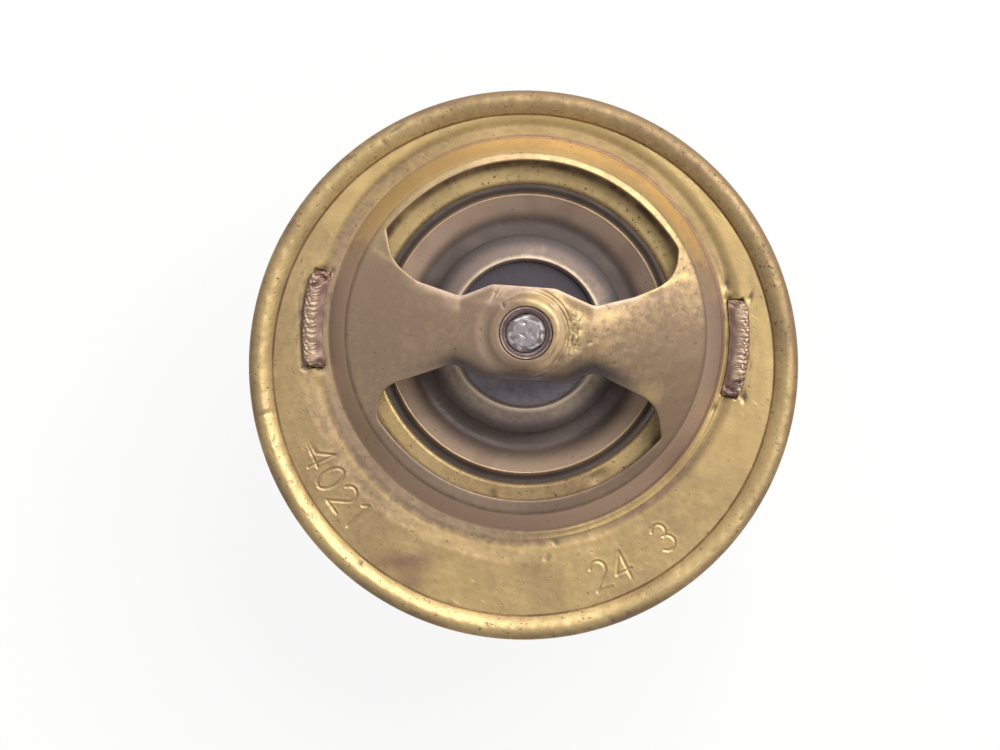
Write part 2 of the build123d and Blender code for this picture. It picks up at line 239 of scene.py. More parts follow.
def spot(x, y, cx, cy, long, wide, turn=0.0):
    """1 at a centre, fading to 0 outside an ellipse that is turned by some degrees."""
    a = math.radians(turn)
    u = (x - cx) * math.cos(a) + (y - cy) * math.sin(a)
    v = -(x - cx) * math.sin(a) + (y - cy) * math.cos(a)
    return np.exp(-((u / long) ** 2) - (v / wide) ** 2)


def near(value, centre, wide):
    """1 at the centre, fading to 0 on both sides of it."""
    return np.exp(-(((value - centre) / wide) ** 2))


def toward(x, y, degrees, spread):
    """1 in a direction from the valve axis, fading to 0 over a spread to both sides of it."""
    off = (np.degrees(np.arctan2(y, x)) - degrees + 180) % 360 - 180
    return np.exp(-((off / spread) ** 4))


def from_axis(x, y):
    """Distance from the valve axis."""
    return np.hypot(x, y - valve_y)


def piece(name, patches, body, finish, stands_for=(), layers=None):
    """One mesh from patches, each (points, rows_close, columns_close, kept cells or None).

    Equal points of neighbouring patches become one vertex, and cells that shrink to a line go.
    """
    points, quads, start = [], [], 0
    for grid, rows_close, columns_close, kept in patches:
        m, n = grid.shape[:2]
        index = np.arange(m * n).reshape(m, n) + start
        rows = np.arange(m if rows_close else m - 1)
        columns = np.arange(n if columns_close else n - 1)
        i, j = np.meshgrid(rows, columns, indexing="ij")
        i2, j2 = (i + 1) % m, (j + 1) % n
        cells = np.stack([index[i, j], index[i, j2], index[i2, j2], index[i2, j]], axis=-1)
        quads.append(cells[kept] if kept is not None else cells.reshape(-1, 4))
        points.append(grid.reshape(-1, 3))
        start += m * n
    points = np.concatenate(points)
    _, first, place = np.unique(
        np.round(points, 5), axis=0, return_index=True, return_inverse=True
    )
    quads = place.reshape(-1)[np.concatenate(quads)]
    same = quads == np.roll(quads, -1, axis=1)
    whole = quads[~same.any(1)]
    halves = same.sum(1) == 1
    thirds = quads[halves][~same[halves]].reshape(-1, 3)
    used = np.unique(np.concatenate([whole.ravel(), thirds.ravel()]))
    renumber = np.zeros(len(first), int)
    renumber[used] = np.arange(len(used))
    points = points[first][used]
    mesh = bpy.data.meshes.new(name)
    faces = renumber[whole].tolist() + renumber[thirds].tolist()
    mesh.from_pydata((points * MM).tolist(), [], faces)
    work = bmesh.new()
    work.from_mesh(mesh)
    bmesh.ops.recalc_face_normals(work, faces=work.faces)
    work.to_mesh(mesh)
    work.free()
    mesh.shade_smooth()
    for layer, worth in (layers or {}).items():
        values = np.clip(worth(*points.T), 0, 1).astype(np.float32)
        mesh.attributes.new(layer, "FLOAT", "POINT").data.foreach_set("value", values)
    mesh.materials.append(finish)
    made = bpy.data.objects.new(name, mesh)
    bpy.context.scene.collection.objects.link(made)
    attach(made, body)
    if stands_for:
        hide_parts(*stands_for)
    return made


# ---------------------------------------------------------------- finishes
def colour(red, green, blue):
    """Linear colour from the 0 to 255 values that a screen shows."""
    shown = np.array([red, green, blue]) / 255
    linear = np.where(shown > 0.04045, ((shown + 0.055) / 1.055) ** 2.4, shown / 12.92)
    return (*linear, 1.0)


class Nodes:
    """Short ways to add nodes to an owner's tree. A value is a number or another node's socket."""

    def __init__(self, owner):
        owner.use_nodes = True
        self.owner = owner
        self.tree = owner.node_tree

    def feed(self, socket, value):
        """Link a socket to a value, or set it."""
        if isinstance(value, bpy.types.NodeSocket):
            self.tree.links.new(value, socket)
        else:
            socket.default_value = value

    def set(self, node, **values):
        """Feed inputs of a node of the tree. Their names have _ for spaces."""
        for name, value in values.items():
            self.feed(self.tree.nodes[node].inputs[name.replace("_", " ")], value)

    def add(self, kind, values=(), output=0, **settings):
        """A new node: values by the number or name of its inputs, and its own settings."""
        made = self.tree.nodes.new("ShaderNode" + kind)
        for name, value in settings.items():
            setattr(made, name, value)
        for place, value in dict(values).items():
            self.feed(made.inputs[place], value)
        return made.outputs[output]

    def maths(self, operation, first, second=0.0):
        return self.add("Math", {0: first, 1: second}, operation=operation)

    def times(self, first, second):
        return self.maths("MULTIPLY", first, second)

    def plus(self, first, second):
        return self.maths("ADD", first, second)

    def vectors(self, operation, first, second=(0, 0, 0), output=0):
        """Vector maths of two vectors."""
        return self.add("VectorMath", {0: first, 1: second}, output, operation=operation)

    def between(self, value, low, high, to_low=0.0, to_high=1.0):
        """Value carried from one range to another, held at the new range's ends."""
        return self.add("MapRange", {0: value, 1: low, 2: high, 3: to_low, 4: to_high})

    def blend(self, share, first, second):
        """First colour where the share is 0, second where it is 1."""
        return self.add("Mix", {0: share, 6: first, 7: second}, 2, data_type="RGBA")

    def place(self):
        """Place of a point in the piece's own coordinates."""
        return self.add("TexCoord", output="Object")

    def layer(self, name):
        """One of the piece's own layers."""
        return self.add("Attribute", output="Fac", attribute_name=name)

    def grain(self, scale, detail=4.0, rough=0.6, stretch=None, turn=0.0):
        """Fractal noise over the piece's own coordinates, drawn out along one direction if asked."""
        where = self.place()
        if stretch is not None:
            turned_by = (0, 0, math.radians(turn))
            where = self.add("Mapping", {"Vector": where, "Rotation": turned_by})
            where = self.vectors("MULTIPLY", where, stretch)
        values = {"Vector": where, "Scale": scale, "Detail": detail, "Roughness": rough}
        return self.add("TexNoise", values, "Fac")

    def pits(self, scale, size, share):
        """Round dots at random points, one to a cell, in a share of the cells."""
        values = {"Vector": self.place(), "Scale": scale}
        cells = self.add("TexVoronoi", values, "Distance").node
        dot = self.between(cells.outputs["Distance"], size * 0.5, size, 1.0, 0.0)
        pick = self.add("SeparateColor", {"Color": cells.outputs["Color"]})
        return self.times(dot, self.between(pick, 1 - share, 1.02 - share))

    def painted_shade_ring(self, radius, half_width, centre_y):
        """Mask of a painted shade line: 1 on a circle about an upright axis, 0 beyond half_width
        from it, sizes in mm.
        """
        flat = self.vectors("SUBTRACT", self.place(), (0, centre_y * MM, 0))
        flat = self.vectors("MULTIPLY", flat, (1, 1, 0))
        off = self.maths("SUBTRACT", self.vectors("LENGTH", flat, output="Value"), radius * MM)
        off = self.maths("ABSOLUTE", off)
        return self.between(off, half_width * MM * 0.3, half_width * MM, 1.0, 0.0)

    def bump(self, height, strength, depth):
        """Normal of a surface raised by a height, depth in mm."""
        values = {"Height": height, "Strength": strength, "Distance": depth * MM}
        return self.add("Bump", values)


def brass(name, clean, tarnish, spots=0.5, metal=0.72, rough=0.43, pitted=0.0, lines=()):
    """Handled brass: yellow metal under patchy brown tarnish, fine scratches, pits and specks.

    The piece's layers place its tarnish (dull and brown, in places painted shade), rubbed clean
    metal and painted highlights, a pale brown film that also paints light on shaded slopes and
    edges, stain (reddish purple), and dark dirt with painted shade in creases, hollows and under
    edges. Lines are painted shade, dark circles along creases and an edge's shadow, each (radius,
    half width, share, centre y) in mm.
    """
    made = Nodes(bpy.data.materials.new(name))
    times, plus, between, blend, grain = made.times, made.plus, made.between, made.blend, made.grain
    fine = grain(1300.0, 3.0, 0.75)
    patch = between(grain(95.0, 3.0, 0.5), 0.38, 0.66)
    share = plus(times(patch, 0.28), between(fine, 0.35, 0.7, 0.0, 0.3))
    share = plus(share, times(made.layer("tarnish"), 0.9))
    # Rubbed metal and painted highlights take the tarnish off.
    share = between(made.maths("SUBTRACT", share, made.layer("wear_and_highlight")), 0.0, 1.0)
    base = blend(share, clean, tarnish)
    # A pale brown film, which also paints light on shaded slopes and edges.
    base = blend(made.layer("film_and_light"), base, colour(206, 178, 158))
    base = blend(times(made.layer("stain"), 0.8), base, colour(120, 84, 82))
    # Dark dirt, and painted shade in creases, hollows and under edges.
    base = blend(made.layer("dirt_and_shade"), base, colour(82, 76, 80))
    # Painted shade: dark circles along creases, and an edge's shadow.
    for radius, half_width, dark, centre_y in lines:
        line = made.painted_shade_ring(radius, half_width, centre_y)
        line = times(line, between(grain(300.0), 0.3, 0.6, 0.4, 1.0))
        base = blend(times(line, dark), base, colour(92, 66, 52))
    holes = made.pits(1100.0, 0.10, 0.25 + 0.4 * pitted)
    if pitted:
        holes = made.maths("MAXIMUM", holes, made.pits(2400.0, 0.2 * pitted, 0.35))
    speck = made.maths("MAXIMUM", between(grain(2600.0, 2.0, 0.5), 0.68, 0.73), holes)
    base = blend(times(speck, spots), base, colour(84, 66, 56))
    scratch = between(grain(420.0, 3.0, 0.7, (1.0, 9.0, 1.0), 32.0), 0.66, 0.74)
    across = between(grain(420.0, 3.0, 0.7, (9.0, 1.0, 1.0), 14.0), 0.68, 0.75)
    marks = made.maths("MAXIMUM", scratch, across)
    dents = made.maths("SUBTRACT", times(fine, 0.7), times(speck, 1.2))
    height = made.maths("SUBTRACT", dents, times(marks, 0.5))
    dull = plus(times(share, 0.14), times(fine, 0.16))
    made.set("Principled BSDF", Base_Color=base, Roughness=plus(dull, rough - 0.14),
             Metallic=plus(times(made.layer("film_and_light"), -0.7 * metal), metal),
             Normal=made.bump(height, 0.4, 0.05))
    return made.owner


def steel(name, clean, tarnish, rough=0.35):
    """Grey steel with a thin uneven tarnish, fine marks, and rubbed places and painted highlights
    made pale.
    """
    metal = 0.85
    made = Nodes(bpy.data.materials.new(name))
    fine = made.grain(700.0, 4.0, 0.7)
    share = made.between(made.grain(140.0, 4.0, 0.6), 0.35, 0.68, 0.0, 0.5)
    base = made.blend(share, clean, tarnish)
    # Rubbed places and painted highlights, pale.
    base = made.blend(made.layer("wear_and_highlight"), base, colour(240, 234, 238))
    made.set("Principled BSDF", Base_Color=base,
             Metallic=made.plus(made.times(made.layer("wear_and_highlight"), -0.6 * metal), metal),
             Roughness=made.between(fine, 0.2, 0.8, rough - 0.08, rough + 0.12),
             Normal=made.bump(fine, 0.25, 0.03))
    return made.owner


def soft(name, tone, shade, rough=0.7):
    """Matt rubber, wax or plastic with a faint mottle."""
    made = Nodes(bpy.data.materials.new(name))
    fine = made.grain(500.0, 4.0, 0.6)
    made.set("Principled BSDF", Base_Color=made.blend(made.between(fine, 0.3, 0.7), tone, shade),
             Roughness=made.between(fine, 0.2, 0.8, rough - 0.06, rough + 0.08),
             Normal=made.bump(fine, 0.2, 0.05))
    return made.owner


# Lines: painted shade at the bead's inner crease, and along the crease at the roof's edge.
plate_brass = brass("plate_brass", colour(216, 186, 128), colour(138, 116, 94), spots=0.4,
                    lines=[(bead_edge - 0.03, 0.12, 0.75, 0.0), (roof_radius, 0.14, 0.4, valve_y)])
# Lines: painted shade at the bead's free edge, and the painted shadow of the windows' edge on the
# seat ring.
rim_brass = brass("rim_brass", colour(216, 188, 134), colour(148, 124, 94), spots=0.75, rough=0.5,
                  pitted=1.0,
                  lines=[(bead_edge + 0.04, 0.11, 0.65, 0.0), (16.8, 0.62, 0.9, valve_y)])
inner_brass = brass("inner_brass", colour(222, 192, 160), colour(164, 140, 124), metal=0.5)
# Its pale clean colour shows mostly as the painted highlight along the crimped edge.
cup_finish = brass("cup_brass", colour(236, 216, 188), colour(150, 132, 122), spots=0.3,
                   metal=0.3, rough=0.6)
# Its dark tone carries tarnish, and the painted shade laid towards +Y.
guide_finish = brass("guide_brass", colour(164, 156, 162), colour(88, 82, 88), spots=0.2,
                     metal=0.75)
frame_finish = brass("frame_brass", colour(196, 168, 140), colour(134, 112, 100))
pin_steel = steel("pin_steel", colour(172, 162, 166), colour(134, 124, 128))
sleeve_copper = steel("sleeve_copper", colour(172, 152, 148), colour(124, 106, 106), rough=0.5)
coil_steel = steel("coil_steel", colour(170, 166, 164), colour(120, 104, 92), rough=0.4)
black_rubber = soft("black_rubber", colour(44, 42, 42), colour(34, 32, 32))
red_wax = soft("red_wax", colour(150, 96, 60), colour(130, 80, 50), rough=0.5)
white_plastic = soft("white_plastic", colour(206, 200, 188), colour(190, 184, 172), rough=0.45)


# ---------------------------------------------------------------- stamped figures
def stroke(x, y, ax, ay, bx, by):
    """Distance from each point to the line from a to b."""
    dx, dy = bx - ax, by - ay
    t = np.clip(((x - ax) * dx + (y - ay) * dy) / (dx * dx + dy * dy + 1e-12), 0, 1)
    return np.hypot(x - ax - t * dx, y - ay - t * dy)


def bow(cx, cy, half_wide, half_tall, start, end, count=9):
    """Lines along an ellipse's arc: (cx + a cos t, cy + b sin t) for t from start to end."""
    t = np.radians(np.linspace(start, end, count))
    points = np.stack([cx + half_wide * np.cos(t), cy + half_tall * np.sin(t)], axis=1)
    return [(*p, *q) for p, q in zip(points, points[1:])]


# Lines of each figure, from -1 to 1 across and from -1.5 to 1.5 up.
figure_lines = {
    "0": bow(0, 0, 1, 1.5, 0, 360, 17),
    "1": [(0, -1.5, 0, 1.5), (0, 1.5, -0.6, 1.0)],
    "2": [*bow(0, 0.65, 0.95, 0.85, 165, -30), (0.82, 0.22, -1, -1.5), (-1, -1.5, 1, -1.5)],
    "3": [*bow(0, 0.75, 0.85, 0.75, 150, -80), *bow(0, -0.7, 0.95, 0.8, 85, -150)],
    "4": [(0.5, -1.5, 0.5, 1.5), (0.5, 1.5, -1, -0.6), (-1, -0.6, 1, -0.6)],
}
# Each figure: character, its angle and distance from the flange's centre. Tops face the centre.
figures = [("4", 208.5, 22.0), ("0", 214.5, 22.0), ("2", 220.5, 22.0), ("1", 226.5, 22.0),
           ("2", 294.0, 22.0), ("4", 300.0, 22.0), ("3", 313.0, 21.8)]
figure_height = 2.9
figure_width = 1.6
stroke_half = 0.1
stamp_depth = 0.1


def stamped(x, y):
    """Depth of the stamped figures: a round-bottomed groove along each line, with a low lip."""
    depth = np.zeros(np.shape(x))
    wide, tall = figure_width / 2, figure_height / 3
    for sign, angle, distance in figures:
        out_x, out_y = math.cos(math.radians(angle)), math.sin(math.radians(angle))
        dx, dy = x - distance * out_x, y - distance * out_y
        close = np.hypot(dx, dy) < 2.6
        u = dy[close] * out_x - dx[close] * out_y
        v = -dx[close] * out_x - dy[close] * out_y
        nearest = np.full(u.shape, 9.0)
        for ax, ay, bx, by in figure_lines[sign]:
            gap = stroke(u, v, ax * wide, ay * tall, bx * wide, by * tall)
            nearest = np.minimum(nearest, gap)
        depth[close] += stamp_depth * near(nearest, 0, stroke_half)
        depth[close] -= 0.02 * near(nearest, 2.2 * stroke_half, stroke_half)
    return depth


# ---------------------------------------------------------------- seat plate with its rolled rim
def on_flange_ring(radius, angle):
    """Distance from the valve axis, along each angle, to a ring about the flange's centre.

    It solves x^2 + (y + d)^2 = R^2 on the ray at that angle, d being the axis' offset.
    """
    d = valve_y
    return -d * np.sin(angle) + np.sqrt(radius**2 - (d * np.cos(angle)) ** 2)


def bead_line():
    """The rolled rim's outer face from its free edge over the crown to the underside, as (r, z)."""
    crown_r, crown_z = flange_radius - 0.42 * bead_width, flange_top + 0.9
    side_z = underside + 1.7
    corner = 0.5
    u = np.linspace(1, 0, 16)
    a = np.linspace(0, math.pi / 2, 13)[1:]
    b = np.linspace(0, math.pi / 2, 8)
    r = [crown_r - u * (crown_r - bead_edge), crown_r + (flange_radius - crown_r) * np.sin(a),
         flange_radius - corner + corner * np.cos(b)]
    z = [crown_z - 0.75 * u**1.8, side_z + (crown_z - side_z) * np.cos(a),
         underside + corner - corner * np.sin(b)]
    return np.stack([np.concatenate(r), np.concatenate(z)], axis=1)


# Marks on the rim: x, y, length along the ring, width across it, depth, turn in degrees.
rim_marks = [
    (-24.9, -6.5, 0.9, 0.14, 0.14, 15), (-14.5, -20.5, 0.35, 0.16, 0.18, 52),
    (-19.7, -16.2, 0.5, 0.14, 0.14, 20), (-15.2, 20.8, 0.14, 0.4, 0.12, 40),
    (-14.3, 22.1, 1.1, 0.13, 0.12, 36), (-11.6, 23.2, 0.3, 0.12, 0.1, 70),
    (10.4, -24.3, 0.35, 0.14, 0.16, -50), (-18.6, 19.0, 0.6, 0.12, 0.1, 30),
    (12.0, -23.6, 0.25, 0.14, 0.12, -20), (22.4, -13.6, 0.25, 0.12, 0.1, 70),
    (-5.6, -24.9, 0.35, 0.18, 0.07, 10), (25.4, 4.6, 0.14, 0.3, 0.07, 10),
    (-23.9, -9.2, 0.4, 0.13, 0.12, 70), (-21.9, -13.2, 0.3, 0.13, 0.12, 40),
]


def marked(x, y, marks):
    """Sum of marks at each point, each an elliptic spot times its depth."""
    total = np.zeros(np.shape(x))
    for cx, cy, long, wide, depth, turn in marks:
        total = total + depth * spot(x, y, cx, cy, long, wide, turn)
    return total


def rim_wear(x, y):
    """How far marks, pits and waviness sink the bead's surface, in millimetres."""
    sunk = 0.03 * waves(x, y, 7.0, 3) + 0.016 * waves(x, y, 1.6, 4) + 0.007 * waves(x, y, 0.7, 6)
    sunk = sunk + marked(x, y, rim_marks)
    rng = np.random.default_rng(11)
    count, worn_side = 260, (math.radians(150), math.radians(330))
    angle = rng.uniform(0, 2 * math.pi, count)
    angle[: count // 2] = rng.uniform(*worn_side, count // 2)
    ring = rng.uniform(24.9, 26.7, count)
    size = rng.uniform(0.05, 0.12, count)
    depth = rng.uniform(0.02, 0.07, count)
    here = np.arctan2(y, x)
    for a, r, s, d in zip(angle, ring, size, depth):
        close = np.abs((here - a + math.pi) % (2 * math.pi) - math.pi) < 0.02
        sunk[close] += d * spot(x[close], y[close], r * math.cos(a), r * math.sin(a), s, s)
    return sunk


def seat_ring(x, y):
    """True on the ring that shows in the windows."""
    return from_axis(x, y) < 18


def seat_tarnish(x, y, z):
    """Brown tarnish on the rim's outer side; darker towards the upper right off the seat ring, and
    on the seat ring's lower side.
    """
    rim = 0.6 * soft_step(np.hypot(x, y), 26.2, 27.0)
    upper_right = 0.55 * soft_step(x + 1.6 * y, 12.0, 42.0) * ~seat_ring(x, y)
    low = 0.35 * toward(x, y - valve_y, -85.0, 35.0) * seat_ring(x, y)
    return 0.15 + rim + 0.15 * waves(x, y, 9.0, 21) + upper_right + low


def seat_highlight_and_wear(x, y, z):
    """Rubbed metal on the bead's crown, and painted highlights: more on its lower left, and on two
    sides of the seat ring.
    """
    r = np.hypot(x, y)
    crown = 0.2 * near(r, 25.5, 0.6) + 0.35 * near(r, 25.3, 0.6) * toward(x, y, -142.0, 32.0)
    sides = toward(x, y - valve_y, -150.0, 30.0) + 0.6 * toward(x, y - valve_y, 90.0, 50.0)
    return crown + 0.3 * sides * seat_ring(x, y)


def seat_stain(x, y, z):
    """Purple patches on the rim's outer side."""
    patch = soft_step(waves(x, y, 6.0, 22), 0.3, 1.2)
    return 0.3 * patch * soft_step(np.hypot(x, y), 26.0, 27.0)


def seat_shade_and_marks(x, y, z):
    """Painted shade below the seat ring, and darker in the rim's marks."""
    return 0.75 * soft_step(-z, 1.1, 1.7) + 5.0 * marked(x, y, rim_marks)


def seat_plate():
    """Seat plate: one closed section carried round the valve axis.

    The section's inner part keeps its distance from the valve axis and its rim keeps it from
    the flange's centre, so each point sits at rho(angle) = r or at on_flange_ring(r, angle).
    """
    step_out = 21.45
    bead_rows, worn_rows = 52, 38
    inner = rounded(
        [(seat_bore, lip_low + 0.05), (seat_bore, ring_top), (step_out - 0.6, ring_top),
         (step_out, seat_top), (step_out + 0.8, seat_top)],
        [0.45, 0.3, 0.3], 10,
    )
    ring = spaced(np.concatenate([[[seat_bore + 0.12, lip_low]], inner]), 0.45)
    pocket = [(rim_pocket, seat_top), (rim_pocket, flange_top), (bead_edge, flange_top),
              (bead_edge, flange_top + 0.06), (bead_edge, flange_top + 0.15)]
    bead = stations(bead_line(), bead_rows)
    back = rounded(
        [(step_out + 0.8, underside), (step_out + 0.1, underside), (step_out - 0.5, ring_top - 0.8),
         (seat_bore + 0.8, ring_top - 0.8), (seat_bore + 0.8, lip_low)],
        [0.3, 0.3, 0.3], 5,
    )
    loop = np.concatenate([ring, pocket, bead, [[bead_edge, underside]], back])
    rows = np.arange(len(loop))[:, None]
    about_flange = (rows >= len(ring)) & (rows < len(loop) - len(back))
    first = len(ring) + len(pocket)
    on_bead = (rows >= first - 1) & (rows < first + worn_rows)
    angles = ring_angles(720)
    r, z = loop[:, :1], loop[:, 1:2]
    rho = np.where(about_flange, on_flange_ring(r, angles[None]), r + 0 * angles)
    x, y = rho * np.cos(angles), valve_y + rho * np.sin(angles)
    lip = spot(x, y, 8.1, -10.5, 0.9, 0.5, 40) + spot(x, y, -2.2, -13.2, 0.35, 0.35)
    worn = z - on_bead * np.clip(rim_wear(x, y), -0.04, 0.3)
    worn = worn - 0.25 * lip * (z > ring_top - 0.5) * (rho < 18)

    grid = np.stack([x, y, worn], axis=-1)
    piece("seat_and_rolled_rim", [(grid, True, True, None)], "root", rim_brass,
          ["seat_plate"],
          {"tarnish": seat_tarnish, "wear_and_highlight": seat_highlight_and_wear, "stain": seat_stain, "dirt_and_shade": seat_shade_and_marks})


# ---------------------------------------------------------------- bridge plate
# Side edges of the hub and arms about the valve axis, from -X to +X: (x, y, bend radius).
far_edge = [(-14.0, 9.0, 0.2), (-13.5, 6.1, 3.6), (-11.0, 4.35, 2.4), (-6.6, 3.15, 1.6),
            (-3.6, 4.55, 1.4), (2.6, 4.55, 1.8), (6.5, 3.1, 1.6), (10.4, 4.3, 5.0),
            (14.25, 6.3, 3.4), (14.1, 9.2, 1.0)]
near_edge = [(-13.9, -9.2, 1.6), (-13.8, -6.3, 2.4), (-6.9, -3.45, 1.4), (-3.6, -4.72, 1.2),
             (4.1, -4.58, 1.2), (6.9, -3.35, 1.4), (13.2, -5.95, 3.0), (13.95, -9.3, 0.5)]


def window_outline(side):
    """Closed outline of a window about the valve axis, for side +1 (+Y) or -1 (-Y), as (x, y).

    It runs along the hub and arms from -X to +X, and back over the arc, whose ends come too.
    """
    edge = np.array(far_edge if side > 0 else near_edge)
    centre = np.array([0, window_shift])
    end, start = (math.atan2(y - window_shift, x) for x, y in (edge[0, :2], edge[-1, :2]))
    sweep = np.linspace(start, end, 181)
    radius = window_radius + 0.03 + 0.25 * np.linspace(-1, 1, 181) ** 6
    arc = centre + np.stack([radius * np.cos(sweep), radius * np.sin(sweep)], axis=1)
    half = len(edge) // 2
    middle = (edge[half - 1, :2] + edge[half, :2]) / 2
    ahead = rounded([middle, *edge[half:-1, :2], arc[0], arc[4]],
                    [*edge[half:-1, 2], edge[-1, 2]], 10)
    behind = rounded([arc[-5], arc[-1], *edge[1:half, :2], middle],
                     [edge[0, 2], *edge[1:half, 2]], 10)
    return np.concatenate([ahead[:-1], arc[4:-5], behind[:-1]]), (arc[0], arc[-1])


def outline_normals(path):
    """Unit normals of a closed path of points, to its right."""
    run = np.roll(path, -1, axis=0) - np.roll(path, 1, axis=0)
    run /= np.hypot(*run.T)[:, None]
    return np.stack([run[:, 1], -run[:, 0]], axis=1)


# Sections of the plate, (r, z): crisp where it is well kept, softer where it is worn, and below.
dome_line = [(hub_hole, hub_top), (3.3, hub_top), (3.9, hub_z), (5.0, hub_z),
             (roof_radius, crease_z), (dome_radius, band_top)]
dome_bends = [0.75, 0.5, 1.6, 1.0, 0.2]
roof_line = [*dome_line, (20.6, band_top), (21.3, flange_top), (23.6, flange_top)]
roof_bends = [*dome_bends, 0.4, 1.0]
worn_line = [*dome_line, (20.5, band_top + 0.05), (22.6, flange_top), (23.6, flange_top)]
worn_bends = [*dome_bends, 1.6, 4.0]
under_line = [(hub_hole, hub_top - sheet), (3.02, hub_top - sheet), (3.6, hub_z - sheet),
              (4.85, hub_z - sheet), (17.2, crease_z - 0.76), (18.8, band_top - sheet),
              (20.85, band_top - sheet), (21.45, seat_top), (22.4, seat_top)]
under_bends = [0.12, 0.9, 0.6, 0.3, 0.9, 1.1, 0.3]


def profile_height(line, radii):
    """Height of a rounded line (r, z) as a function of r."""
    path = rounded(line, radii, 8)
    return lambda r: np.interp(r, path[:, 0], path[:, 1])


roof_height = profile_height(roof_line, roof_bends)
worn_height = profile_height(worn_line, worn_bends)
under_height = profile_height(under_line, under_bends)


def denser_at_figures(path, places):
    """Places along an arc moved closer together where the stamped figures lie outside it."""
    fine = np.linspace(places[0], 2 * places[-1] - places[-2], 2000)
    x, y = sampled(path, fine).T
    heading = np.degrees(np.arctan2(y, x)) % 360
    weight = np.ones(len(fine))
    for _, angle, distance in figures:
        a = math.radians(angle)
        seen = math.degrees(math.atan2(distance * math.sin(a) - valve_y, distance * math.cos(a)))
        weight += 1.4 * (np.abs(heading - seen % 360) < 4.0) * (weight < 2)
    return crowded(fine, weight, len(places))


def edge_gap(x, y):
    """How far a point of the hub or an arm lies inside its side edge, seen from above."""
    far = np.array([(-17.5, 8.4, 0), *far_edge[1:-1], (17.5, 8.0, 0)])
    low = np.array([(-17.5, -7.9, 0), *near_edge[1:-1], (17.5, -7.8, 0)])
    return np.minimum(np.interp(x, far[:, 0], far[:, 1]) - y,
                      y - np.interp(x, low[:, 0], low[:, 1]))


# Small marks on the plate about the valve axis: x, y, long, wide, depth, turn.
plate_marks = [
    (-3.3, 3.5, 0.9, 0.09, 0.10, 70), (-2.95, 3.45, 0.8, 0.06, 0.06, 62),
    (-2.42, 2.55, 0.25, 0.14, 0.14, 120), (6.27, -0.49, 0.2, 0.12, 0.1, 20),
    (2.35, 2.75, 0.5, 0.09, 0.14, -35), (3.1, -2.2, 0.9, 0.09, 0.12, 60),
    (2.75, -1.7, 0.7, 0.07, 0.1, 66), (19.35, 6.1, 0.34, 0.3, 0.4, 45),
    (19.7, 4.8, 0.3, 0.22, 0.22, 10), (21.8, 5.15, 0.14, 0.4, 0.2, -20),
    (18.95, -6.0, 0.3, 0.24, 0.3, 20), (21.75, -4.75, 0.22, 0.45, 0.22, 20),
    (-21.45, -4.85, 0.3, 0.3, 0.16, 0), (-19.8, -4.5, 0.4, 0.28, 0.2, 20),
    (-20.3, 4.85, 0.35, 0.25, 0.2, 0), (-19.4, 4.8, 0.22, 0.25, 0.16, 0),
    (-14.5, 15.5, 0.5, 0.1, 0.06, 35), (-14.1, 15.0, 0.1, 0.1, 0.08, 0),
    (-10.0, 18.9, 0.14, 0.12, 0.08, 0), (4.3, -20.3, 0.3, 0.13, 0.14, -40),
    (3.65, -21.9, 0.42, 0.13, 0.13, 78), (13.2, 1.9, 0.16, 0.1, 0.05, 30),
    (-9.8, -1.7, 0.12, 0.4, 0.05, -20), (8.8, -2.4, 0.3, 0.1, 0.07, 10),
]
sheet_swells = [(-7.2, 3.0, 3.4, 0.5, 0.16, -8), (7.6, 3.0, 3.0, 0.5, 0.12, 10)]
head_swells = [
    (-19.9, -5.6, 0.5, 0.25, 0.10, 20), (19.75, 5.35, 0.3, 0.2, 0.12, 0),
    (19.9, 4.3, 0.2, 0.3, 0.14, 0), (-21.6, -5.3, 0.3, 0.16, 0.08, 40),
]


def sheet_bend(x, y):
    """Bends that the whole sheet follows: arm edges rolled down near the waists, soft swells."""
    gap = np.maximum(edge_gap(x, y), 0)
    along_arm = near(np.maximum(np.abs(x) - 6.0, 0), 0, 3.6)
    strength = np.where(y < 0, 1.0, 0.7) * (0.6 + 0.4 * soft_step(np.abs(x), 2.0, 6.0))
    down = strength * near(gap, 0, 1.0) * along_arm
    down = down * (1 - soft_step(np.hypot(x, y), 13.0, 16.0))
    return marked(x, y, sheet_swells) - down + 0.03 * waves(x, y, 9.0, 5)


def foot_side(x, y):
    """Where the dome's foot is drawn sharp, with a fine double ridge: the right, mostly below."""
    return toward(x, y, -33.0, 44.0)


def top_marks(x, y):
    """What tools and wear left in the upper face: crushed metal, nicks, stamped figures."""
    r = np.hypot(x, y)
    torn = 0.07 * waves(2.4 * x, 0.6 * y, 0.9, 7) + 0.03 * waves(1.8 * x, 0.8 * y, 0.5, 8)
    crushed = spot(x, y, 4.7, 0.35, 0.55, 2.1, 4) * (0.12 + torn)
    rings = near(r, 4.05, 0.14) + 0.7 * near(r, 4.45, 0.1)
    chatter = 0.12 * rings * soft_step(x, 0.2, 1.4) * (0.8 + 0.3 * waves(x, y, 1.2, 12))
    pressed = 0.32 * soft_step(-x, -1.0, 2.2) * (1 - soft_step(r, 3.1, 4.0))
    foot = 0.07 * (near(r, 19.68, 0.1) + near(r, 20.2, 0.09)) * foot_side(x, y)
    rough = 0.006 * waves(x, y, 0.9, 9) + 0.012 * waves(x, y, 3.0, 10)
    height = marked(x, y, head_swells) - marked(x, y, plate_marks) - crushed - chatter - pressed
    return height + rough + foot - stamped(x, y + valve_y)


def plate_top(x, y):
    """Height of the upper face, x and y about the valve axis. Its lower left side is worn."""
    r = np.hypot(x, y)
    worn = soft_step(-(0.77 * x + 0.64 * y) / np.maximum(r, 1), 0.0, 0.7)
    profile = roof_height(r) * (1 - worn) + worn_height(r) * worn
    return profile + sheet_bend(x, y) + top_marks(x, y)


